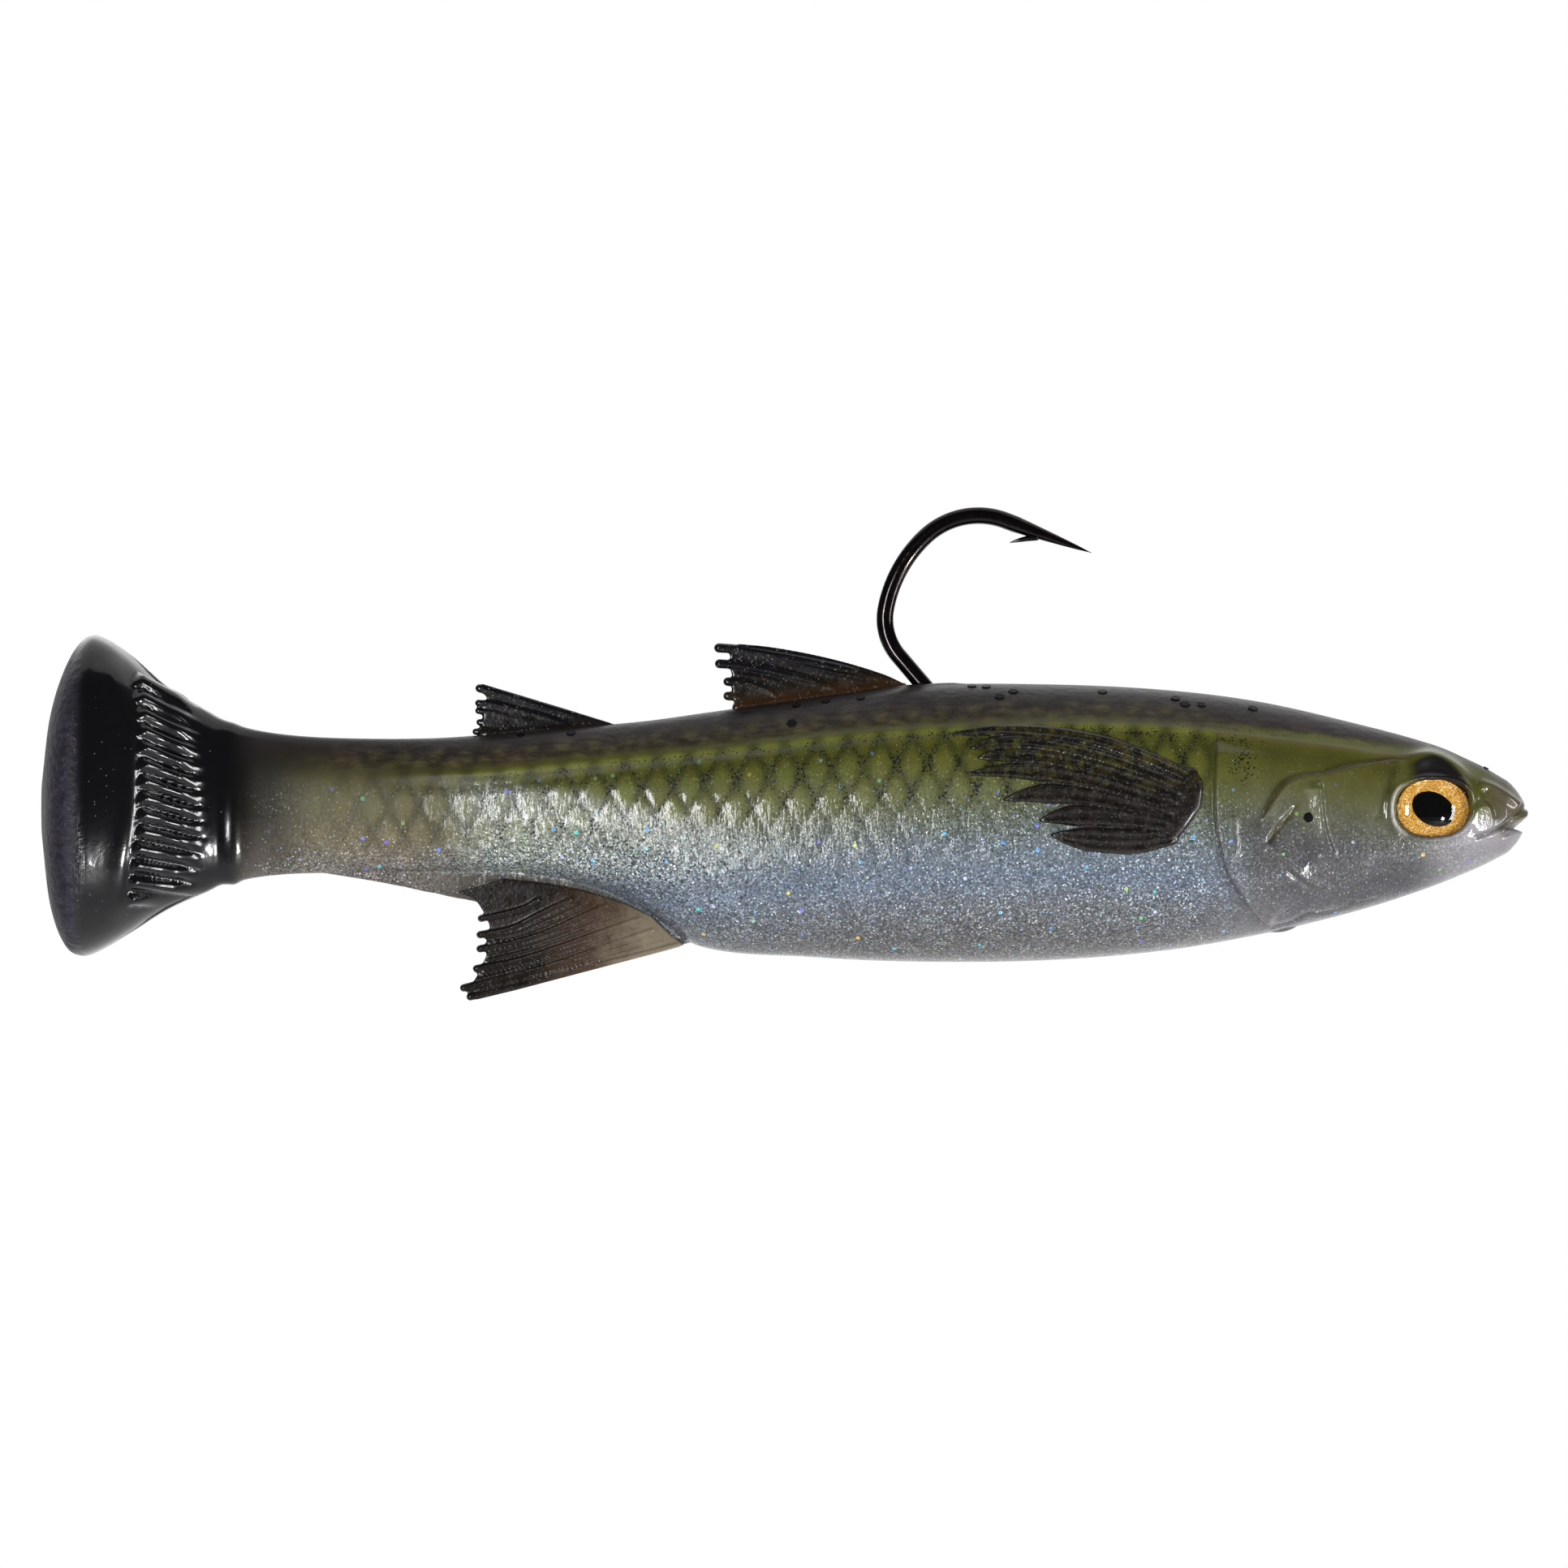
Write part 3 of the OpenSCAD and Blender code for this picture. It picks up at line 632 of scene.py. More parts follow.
def skin_piece(name, grid, normals, colour, amounts, zones, first, last):
    """A closed length of the skin, from ring first to ring last."""
    part = grid[first: last + 1]
    rings = len(part)
    points = part.reshape(-1, 3)
    faces = [(a + i, a + RING + i, a + RING + (i + 1) % RING, a + (i + 1) % RING)
             for a in range(0, (rings - 1) * RING, RING) for i in range(RING)]
    ends = np.array([part[0].mean(0), part[-1].mean(0)])
    if first == 0:
        ends[0] = (part[0, :, 0].max() + 0.002, 0, part[0, :, 2].mean())
    head, tail = len(points), len(points) + 1
    for i in range(RING):
        k = (i + 1) % RING
        faces.append((head, i, k))
        faces.append((tail, (rings - 1) * RING + k, (rings - 1) * RING + i))
    obj = new_object(name, np.vstack([points, ends]), faces)
    flat = normals[first: last + 1].reshape(-1, 3)
    flat = np.vstack([flat, (1, 0, 0), (-1, 0, 0)])
    obj.data.normals_split_custom_set_from_vertices([tuple(n) for n in flat])
    tint = colour[first: last + 1].reshape(-1, 3)
    store(obj, "paint", "FLOAT_COLOR", np.vstack([tint, tint[0], tint[-1]]))
    for word, table in (("amounts", amounts), ("zones", zones)):
        rows = table[first: last + 1].reshape(-1, 3)
        store(obj, word, "FLOAT_VECTOR", np.vstack([rows, rows[0], rows[-1]]))
    keep_rest(obj)
    return obj


def build_skin():
    """The casting as four closed lengths of skin, from the head back."""
    base = skin_grid()
    normals = grid_normals(base)
    d = relief(base[:, :, 0], base[:, :, 1], base[:, :, 2])
    grid = base + normals * d[:, :, None]
    colour, amounts, zones = paint(base[:, :, 0], base[:, :, 1], base[:, :, 2])
    carve_head(grid, base)
    normals = grid_normals(grid)
    xs = base[:, 0, 0]
    cuts = [0] + [int(np.argmin(np.abs(xs - c))) for c in (HEAD_END, TRUNK_END, STEM_END)] + [len(xs) - 1]
    names = ("skin_head", "skin_trunk", "skin_stem", "skin_tail")
    return [skin_piece(n, grid, normals, colour, amounts, zones, a, b) for n, a,
            b in zip(names, cuts[:-1], cuts[1:])]


def tube(spine, radii, thickness=None, sides=20, cap=6):
    """A closed rod along a path in the middle plane, with an oval section and rounded ends.
    radii are its half heights in the plane and thickness its half widths across it."""
    spine = np.asarray(spine, float)
    radii = np.asarray(radii, float)
    thickness = radii if thickness is None else np.asarray(thickness, float)
    way = np.gradient(spine, axis=0)
    way /= np.linalg.norm(way, axis=1, keepdims=True)
    bend = [math.pi / 2 * k / (cap + 0.5) for k in range(1, cap + 1)]
    rows = [(0, -a) for a in bend[::-1]] + [(i, 0.0) for i in range(len(spine))] + [(-1, a) for a in bend]
    points = []
    for i, cap_angle in rows:
        c = spine[i] + way[i] * radii[i] * math.sin(cap_angle)
        r, t = radii[i] * math.cos(cap_angle), thickness[i] * math.cos(cap_angle)
        across = np.array([-way[i][1], way[i][0]])
        for a in np.linspace(0, 2 * math.pi, sides, endpoint=False):
            points.append((c[0] + across[0] * r * math.cos(a), t * math.sin(a),
                           c[1] + across[1] * r * math.cos(a)))
    n = len(rows)
    faces = bands(n, sides)
    faces.append(tuple(range(sides))[::-1])
    faces.append(tuple(range((n - 1) * sides, n * sides)))
    return np.array(points), faces


def plate(outline, thick_at):
    """A flat closed plate in the middle plane. thick_at gives the half thickness at (x, z)."""
    outline = np.asarray(outline, float)
    half = np.array([thick_at(x, z) for x, z in outline])
    n = len(outline)
    right = np.stack([outline[:, 0], -half, outline[:, 1]], 1)
    left = np.stack([outline[:, 0], half, outline[:, 1]], 1)
    faces = [tuple(range(n)), tuple(range(n, 2 * n))[::-1]]
    faces += [(i, n + i, n + (i + 1) % n, (i + 1) % n) for i in range(n)]
    return np.vstack([right, left]), faces


def fuse(name, parts, voxel, relax=4, press=None):
    """Joins closed shapes into one moulded form, and softens its inner corners as a mould does.
    press gives a factor on the thickness at (x, z), applied last."""
    points, faces = joined(parts)
    mesh = bpy.data.meshes.new(name)
    mesh.from_pydata([tuple(p) for p in points], [], faces)
    obj = bpy.data.objects.new(name, mesh)
    bpy.context.scene.collection.objects.link(obj)
    remesh = obj.modifiers.new("remesh", "REMESH")
    remesh.mode = "VOXEL"
    remesh.voxel_size = voxel
    soften = obj.modifiers.new("soften", "SMOOTH")
    soften.iterations = relax
    soften.factor = 0.5
    bpy.context.view_layer.update()
    done = bpy.data.meshes.new_from_object(obj.evaluated_get(bpy.context.evaluated_depsgraph_get()))
    obj.modifiers.clear()
    obj.data = done
    bpy.data.meshes.remove(mesh)
    done.name = name
    if press:
        co = np.zeros(len(done.vertices) * 3, np.float32)
        done.vertices.foreach_get("co", co)
        co = co.reshape(-1, 3)
        co[:, 1] *= press(co[:, 0], co[:, 2])
        done.vertices.foreach_set("co", co.ravel())
    done.transform(((MM, 0, 0, 0), (0, MM, 0, 0), (0, 0, MM, 0), (0, 0, 0, 1)))
    done.shade_smooth()
    keep_rest(obj)
    return obj


FIN_VOXEL = 0.1
# The anal fin is built this half thickness all over, and pressed to its true one
ANAL_BUILT = 0.7


def ray_rod(path, radii, thickness):
    """A fin ray along given points, with radii at its ends and middle."""
    spine = spline(path, 6)
    t = np.linspace(0, 1, len(spine))
    places = np.linspace(0, 1, len(radii))
    return tube(spine, np.interp(t, places, radii), np.interp(t, places, thickness), sides=14)


def build_front_dorsal():
    """The front dorsal fin: a thin blade, seven rays and a thick root."""
    blade = spline([(-51.6, 12.1), (-53.6, 13.05), (-56.8, 14.05), (-60.2, 14.85), (-63.4, 15.4),
                    (-66.0, 15.65)], 5)
    back = [(-66.75, 15.3), (-66.75, 14.4), (-66.75, 13.6), (-66.6, 13.0), (-66.65, 12.4), (-66.6, 11.7),
            (-66.4, 10.9),
            (-66.4, 9.9), (-60, 10.6), (-54.2, 11.6)]
    thick = lambda x, z: 0.22 + 0.25 * max(0.0, 1 - (z - (11.95 + (x + 54) * 0.135)) / 1.6)
    parts = [plate(np.vstack([blade, back]), thick)]
    rays = [([(-67.7, 15.3), (-66, 15.15), (-62, 14.45), (-57.5, 13.55), (-53.0, 12.45)],
             (0.43, 0.42, 0.5, 0.5, 0.3)),
            ([(-66.6, 14.75), (-64, 14.4), (-60, 13.45), (-56.3, 12.55), (-54.2, 11.95)],
             (0.2, 0.28, 0.32, 0.32, 0.3)),
            ([(-67.65, 13.95), (-66, 13.8), (-62.5, 13.15), (-59.3, 12.3), (-57, 11.55)],
             (0.42, 0.4, 0.42, 0.42, 0.35)),
            ([(-66.4, 13.1), (-64, 12.75), (-61.5, 11.95), (-60.0, 11.1)], (0.2, 0.3, 0.32, 0.3)),
            ([(-66.95, 12.42), (-65.5, 12.3), (-63.6, 11.7), (-62.4, 10.9)], (0.4, 0.38, 0.4, 0.36)),
            ([(-66.4, 11.75), (-65.3, 11.55), (-64.0, 10.8)], (0.2, 0.26, 0.3)),
            ([(-66.95, 11.2), (-65.8, 11.05), (-64.9, 10.5)], (0.4, 0.36, 0.36))]
    for path, radii in rays:
        parts.append(ray_rod(path, radii, [max(0.3, min(0.48, r)) + 0.03 * k for k, r in enumerate(radii)]))
    parts.append(ray_rod([(-66.1, 10.2), (-60, 11.05), (-54.2, 11.9), (-51.9, 12.05)], (0.5, 0.5, 0.5, 0.3),
                         (0.55, 0.6, 0.6, 0.4)))
    return fuse("front_dorsal_blade", parts, FIN_VOXEL, 3)


def build_rear_dorsal():
    """The rear dorsal fin: a thin blade, five rays and a thick root."""
    outline = [(-76.5, 8.75), (-82.2, 10.5), (-87.9, 12.25), (-88.2, 11.9), (-87.5, 11.0), (-87.8, 10.3),
               (-87.9, 9.5), (-87.9, 8.7),
               (-88.3, 7.6), (-82, 8.0), (-77, 8.4)]
    thick = lambda x, z: 0.2 + 0.24 * max(0.0, 1 - (z - (8.85 + (x + 77) * 0.075)) / 1.4)
    parts = [plate(outline, thick)]
    rods = [([(-88.15, 11.85), (-86, 11.25), (-81, 9.75), (-77.2, 8.7)], (0.38, 0.42, 0.42, 0.3),
             (0.38, 0.4, 0.42, 0.3)),
            ([(-88.25, 10.6), (-86.6, 10.4), (-83, 9.5), (-80.5, 8.7)], (0.31, 0.34, 0.4, 0.34),
             (0.31, 0.36, 0.42, 0.45)),
            ([(-88.25, 9.93), (-86.6, 9.65), (-84.3, 9.0), (-82.6, 8.5)], (0.3, 0.32, 0.36, 0.3),
             (0.3, 0.35, 0.42, 0.45)),
            ([(-88.15, 8.95), (-86.5, 8.75), (-84.6, 8.3)], (0.3, 0.34, 0.3), (0.3, 0.38, 0.45)),
            ([(-88.5, 8.15), (-87, 8.15), (-85.5, 8.0)], (0.29, 0.3, 0.3), (0.29, 0.38, 0.45)),
            ([(-87.6, 7.95), (-82, 8.35), (-77.5, 8.7)], (0.42, 0.45, 0.3), (0.55, 0.58, 0.4))]
    parts += [ray_rod(*rod) for rod in rods]
    return fuse("rear_dorsal_blade", parts, FIN_VOXEL, 3)


def build_anal():
    """The anal fin: a blade with six rays, and two fine ribs between each two."""
    trailing = spline([(-90.0, -5.6), (-88.6, -6.2), (-87.9, -7.1), (-87.4, -8.1), (-87.2, -9.2),
                       (-87.3, -10.3), (-87.85, -11.6),
                       (-88.5, -12.95), (-89.1, -13.8), (-89.0, -14.55), (-88.4, -14.75)], 4)
    lower = [(-85.1, -13.95), (-79.3, -12.42), (-73.5, -10.9), (-70.6, -10.05), (-71.6, -9.4),
             (-73.5, -7.6), (-76.0, -6.4),
             (-79.3, -5.4), (-82.4, -4.8), (-86, -4.4)]
    thick = lambda x, z: 0.2 + 0.8 * smooth(-44.0, -33.5, x * 0.35 + z) ** 1.2
    parts = [plate(np.vstack([trailing, lower]), lambda x, z: ANAL_BUILT)]
    for k, path in enumerate(ANAL_RAYS):
        n = len(path)
        high = np.interp(np.linspace(0, 1, n), [0, 0.3, 1], [0.34, 0.3, 0.3])
        wide = [ANAL_BUILT * (1 + 0.2 / thick(x, z)) for x, z in path]
        parts.append(ray_rod(path, high, wide))
    for a, b in zip(ANAL_RAYS[1:], ANAL_RAYS[2:]):
        for share in (0.33, 0.67):
            ends = [np.array([np.interp(f, np.linspace(0, 1, len(r)), np.array(r)[:, i]) for i in (0, 1)])
                    for f in (0.06, 0.35, 0.65, 0.95) for r in (a, b)]
            between = [ends[2 * i] * (1 - share) + ends[2 * i + 1] * share for i in range(4)]
            parts.append(ray_rod(between, (0.16, 0.22, 0.26, 0.2),
                                 [ANAL_BUILT * (1 + 0.13 / thick(x, z)) for x, z in between]))
    return fuse("anal_blade", parts, FIN_VOXEL, 4, lambda x, z: thick(x, z) / ANAL_BUILT)


# Pectoral lobes from root to tip: a centre line, and half heights at the root, a third, two thirds and near the tip
PECTORAL_LOBES = [
    ([(-28.0, 4.5), (-31.5, 6.0), (-35.5, 7.35), (-39.8, 8.05), (-44.3, 8.25), (-47.8, 7.95)],
     (0.55, 0.64, 0.62, 0.42)),
    ([(-28.4, 3.6), (-33, 5.4), (-37.5, 6.65), (-41.5, 7.25), (-44.5, 7.15), (-46.2, 6.75)],
     (0.6, 0.68, 0.64, 0.42)),
    ([(-28.6, 2.7), (-32.6, 4.15), (-36.5, 5.25), (-40.5, 6.0), (-44, 6.1), (-45.6, 5.95)],
     (0.62, 0.72, 0.68, 0.44)),
    ([(-28.8, 1.9), (-32.5, 2.95), (-36, 3.95), (-40, 4.65), (-43.5, 4.8), (-46.5, 4.55)],
     (0.62, 0.76, 0.82, 0.42)),
    ([(-29.2, 1.1), (-32.7, 1.9), (-36, 2.6), (-39.2, 2.85), (-41.5, 2.75), (-43.4, 2.35)],
     (0.6, 0.8, 0.9, 0.46)),
    ([(-29.5, 0.3), (-33, 0.75), (-36, 1.0), (-38.5, 0.95), (-40.4, 0.6)], (0.62, 0.92, 0.95, 0.46)),
    ([(-29.4, -0.8), (-32, -1.15), (-35, -1.1), (-37.5, -0.9), (-39.4, -0.65)], (0.8, 1.2, 1.05, 0.5)),
]


def flank(x, z):
    """Distance of the smooth flank from the middle plane."""
    x, z = np.atleast_1d(x).astype(float), np.atleast_1d(z).astype(float)
    return side_at(z, *outline_at(x))


def build_pectoral(side):
    """Overlapping grooved lobes laid on the flank, and the pad they spring from."""
    parts = []
    for k, (path, widths) in enumerate(PECTORAL_LOBES):
        spine = spline(path, 7)
        t = np.linspace(0, 1, len(spine))
        half = np.interp(t, [0, 0.33, 0.66, 0.9, 1.0], [*widths[:3], widths[3], 0.16])
        way = np.gradient(spine, axis=0)
        across = np.stack([-way[:, 1], way[:, 0]], 1) / np.linalg.norm(way, axis=1, keepdims=True)
        high = np.interp(t, [0, 0.4, 0.9, 1.0], [0.4, 0.36, 0.34, 0.24]) + 0.03 * (k % 2)
        parts.append(tube(spine, half, high * 0.72, sides=20))
        for offset in ((-0.5, 0.5) if k < 6 else (-0.62, 0, 0.62)):
            ridge = spine + across * (half * offset)[:, None]
            parts.append(tube(ridge, half * (0.36 if k < 6 else 0.27), high, sides=14))
    pad = spline([(-27.6, 4.5), (-27.5, 3.5), (-27.95, 2.2), (-28.8, 0.7), (-29.7, -0.6)], 6)
    t = np.linspace(0, 1, len(pad))
    parts.append(tube(pad, np.interp(t, [0, 0.5, 1], [0.6, 1.25, 1.0]),
                      np.interp(t, [0, 0.4, 1], [0.36, 0.45, 0.38]), sides=28))
    laid = []
    for points, faces in parts:
        y = flank(points[:, 0], points[:, 2])
        out = np.stack([points[:, 0], side * (y + 0.02 + points[:, 1]), points[:, 2]], 1)
        laid.append((out, faces if side > 0 else [f[::-1] for f in faces]))
    return fuse("pectoral_left" if side == LEFT else "pectoral_right", laid, FIN_VOXEL, 2)


# --- Hook -------------------------------------------------------------------------------------------

WIRE = 1.45
RING_CENTRE = np.array((-39.9, 0.05))
RING_OUTER, RING_WIRE = 4.4, 1.2
SHANK_SLOPE = 49.5
BENDS = ((19.2, 0, 0), (0, 4.8, 51.0), (0, 11.3, 36.4), (0, 6.6, 63.7), (7.8, 0, 0))
SPEAR = 6.9


def hook_path(step=0.16):
    """The wire's centreline, from the ring to the point."""
    place, way = RING_CENTRE.copy(), math.radians(180 - SHANK_SLOPE)
    out = []
    for length, radius, turn in BENDS:
        if radius == 0:
            n = max(2, int(length / step))
            out += [place + np.array((math.cos(way), math.sin(way))) * length * k / n for k in range(n)]
            place = place + np.array((math.cos(way), math.sin(way))) * length
        else:
            centre = place + radius * np.array((math.sin(way), -math.cos(way)))
            n = max(4, int(math.radians(turn) * radius / step))
            for k in range(n):
                a = way - math.radians(turn) * k / n
                out.append(centre + radius * np.array((-math.sin(a), math.cos(a))))
            way -= math.radians(turn)
            place = centre + radius * np.array((-math.sin(way), math.cos(way)))
    return np.array(out + [place])


def build_hook():
    """The hook's wire with its spear point, its barb and its ring."""
    path = hook_path()
    along = np.concatenate([[0], np.cumsum(np.linalg.norm(np.diff(path, axis=0), axis=1))])
    start = along > RING_OUTER / 2 - RING_WIRE / 2
    path, along = path[start], along[start]
    left = along[-1] - along
    radius = WIRE / 2 * np.clip(left / SPEAR, 0, 1) ** 0.8
    radius = np.maximum(radius, 0.035)
    # the bend is forged a little flat
    flat = 1 - 0.1 * smooth(18, 24, along) * smooth(8, 11, left)
    parts = [tube(path, radius, radius * flat, sides=32, cap=3)]
    turn = np.linspace(0, 2 * math.pi, 64, endpoint=False)
    around = np.linspace(0, 2 * math.pi, 20, endpoint=False)
    big = RING_OUTER / 2 - RING_WIRE / 2
    ring = [(RING_CENTRE[0] + (big + RING_WIRE / 2 * math.cos(b)) * math.cos(a), RING_WIRE / 2 * math.sin(b),
             RING_CENTRE[1] + (big + RING_WIRE / 2 * math.cos(b))
             * math.sin(a)) for a in turn for b in around]
    parts.append((np.array(ring), bands(len(turn), len(around), wrap=True)))
    # the barb: a sliver raised from the spear's underside, pointing back
    barb = spline([(-40.6, 24.75), (-41.5, 24.62), (-42.3, 24.45), (-42.85, 24.3)], 5)
    t = np.linspace(0, 1, len(barb))
    parts.append(tube(barb, np.interp(t, [0, 0.5, 1], [0.3, 0.2, 0.03]),
                      np.interp(t, [0, 0.5, 1], [0.42, 0.26, 0.04]), sides=14))
    obj = new_object("hook_wire", *joined(parts))
    keep_rest(obj)
    return obj


# --- Eyes -------------------------------------------------------------------------------------------

def on_eye(points, side):
    """Places points given as (along the head, up, out from the socket's floor) on one eye."""
    p = np.asarray(points, float)
    axis = np.array((math.sin(EYE_TURN), side * math.cos(EYE_TURN), 0))
    along = np.array((math.cos(EYE_TURN), -side * math.sin(EYE_TURN), 0))
    up = np.array((0, 0, 1.0))
    centre = EYE_CENTRE * (1, side, 1)
    return centre + p[:, :1] * along + p[:, 1:2] * up + (p[:, 2:] - SOCKET_DEPTH) * axis


def lathe(profile, around=72, stretch=(1, 1), turn=0.0):
    """Turns a profile of (radius, height) round the eye's axis. The profile starts and ends on the axis."""
    points = [(0, 0, profile[0][1])]
    for r, h in profile[1:-1]:
        for a in np.linspace(0, 2 * math.pi, around, endpoint=False):
            u, v = r * math.cos(a) * stretch[0], r * math.sin(a) * stretch[1]
            points.append((u * math.cos(turn) - v * math.sin(turn), u * math.sin(turn) + v * math.cos(turn),
                           h))
    last = len(points)
    points.append((0, 0, profile[-1][1]))
    rings = len(profile) - 2
    faces = bands(rings, around, 1)
    for i in range(around):
        k = (i + 1) % around
        faces.append((0, 1 + k, 1 + i))
        faces.append((last - around + i, last - around + k, last))
    return np.array(points), faces


def build_eye(side):
    """One eye: the foil disc, the pupil on it and the clear dome over both."""
    word = "left" if side == LEFT else "right"
    made = []
    r, top = EYE_RADIUS, FOIL_THICKNESS
    profile = [(0, 0.0), (r - 0.1, 0.0), (r, 0.08), (r, top - 0.08), (r - 0.08, top)]
    profile += [(r * share, top) for share in (0.8, 0.55, 0.3, 0)]
    made.append(("foil_disc_" + word, *lathe(profile, 96, EYE_OVAL)))
    base = top + 0.005
    face = base + PUPIL_THICKNESS
    profile = [(0, base), (0.97, base), (1.0, base + 0.05), (0.97, face - 0.03), (0.85, face), (0.4, face),
               (0, face)]
    made.append(("pupil_spot_" + word, *lathe(profile, 72, PUPIL_HALF, -PUPIL_TURN)))
    ball = (r**2 + DOME_HEIGHT**2) / (2 * DOME_HEIGHT)
    bottom = top + PUPIL_THICKNESS + 0.02
    profile = [(0, bottom), (r * 0.85, bottom)]
    for h in np.linspace(PUPIL_THICKNESS + 0.03, DOME_HEIGHT, 24)[:-1]:
        profile.append((math.sqrt(max(ball**2 - (ball - DOME_HEIGHT + h) ** 2, 0)), top + h))
    profile.append((0, top + DOME_HEIGHT))
    made.append(("clear_dome_" + word, *lathe(profile, 96, EYE_OVAL)))
    out = []
    for name, points, faces in made:
        placed = on_eye(points, side)
        faces = [f[::-1] for f in faces] if side == LEFT else faces
        obj = new_object(name, placed, faces)
        obj.data.set_sharp_from_angle(angle=math.radians(28))
        keep_rest(obj)
        out.append(obj)
    return out


# --- Black flakes in the back ------------------------------------------------------------------------

# Where the coarse flakes lie on the sides of the back: x, z, size, turn in degrees
FLAKES_FRONT = [
    (-61.5, 8.85, 0.9, 10), (-61.1, 10.35, 0.8, 30), (-58.6, 10.7, 0.8, 5), (-55.6, 11.0, 0.8, 50),
    (-43.8, 11.1, 0.95, 20),
    (-42.6, 11.55, 0.9, 0), (-44.9, 11.95, 0.85, 35), (-46.1, 12.0, 0.8, 15), (-35.0, 11.5, 0.85, 40),
    (-28.8, 10.95, 0.9, 12),
    (-28.0, 10.45, 0.9, 47), (-26.6, 10.4, 0.8, 25), (-22.2, 10.1, 0.95, 8), (-17.65, 0.84, 0.9, 15),
    (-2.2, 5.0, 0.5, 20),
]
FLAKES_REAR = [(-80.3, 8.0, 0.8, 15), (-84.6, 7.85, 0.7, 35)]
FLAKE_SEED = 7


def surface_frame(x, z, side):
    """A point on the flank and its outward normal."""
    y = flank(x, z)[0]
    step = 0.05
    sx = (flank(x + step, z)[0] - flank(x - step, z)[0]) / (2 * step)
    sz = (flank(x, z + step)[0] - flank(x, z - step)[0]) / (2 * step)
    n = Vector((-sx, 1.0, -sz)).normalized()
    return Vector((x, side * y, z)), Vector((n.x, side * n.y, n.z))


def build_flakes(name, table, spare, low, high):
    """Six-sided flakes lying in the skin: the listed ones on the right, and seeded ones on the left and on top."""
    rng = np.random.default_rng(FLAKE_SEED)
    rows = [(x, z, size, turn, RIGHT) for x, z, size, turn in table]
    for _ in range(spare):
        x = rng.uniform(low, high)
        share = rng.uniform(0.62, 0.985)
        back, belly, _ = (float(v[0]) for v in outline_at(np.array([x])))
        rows.append((x, belly + share * (back - belly), rng.uniform(0.7, 0.95), rng.uniform(0, 60), LEFT))
    points, faces = [], []
    for x, z, size, turn, side in rows:
        at, n = surface_frame(x, z, side)
        at += n * float(relief(np.array([x]), np.array([at.y]), np.array([z]))[0])
        u = n.cross(Vector((0, 0, 1))).normalized()
        v = n.cross(u)
        start = len(points)
        for lift, r in ((-0.1, 0.5), (0.07, 0.5), (0.1, 0.45)):
            for k in range(6):
                a = math.radians(60 * k + turn)
                points.append(at + n * lift + (u * math.cos(a) + v * math.sin(a)) * size * r)
        faces += bands(3, 6, start)
        faces.append(tuple(start + k for k in range(5, -1, -1)))
        faces.append(tuple(start + 12 + k for k in range(6)))
    obj = new_object(name, np.array([tuple(p) for p in points]), faces, False)
    bpy.context.view_layer.update()
    keep_rest(obj)
    return obj


# --- Materials --------------------------------------------------------------------------------------

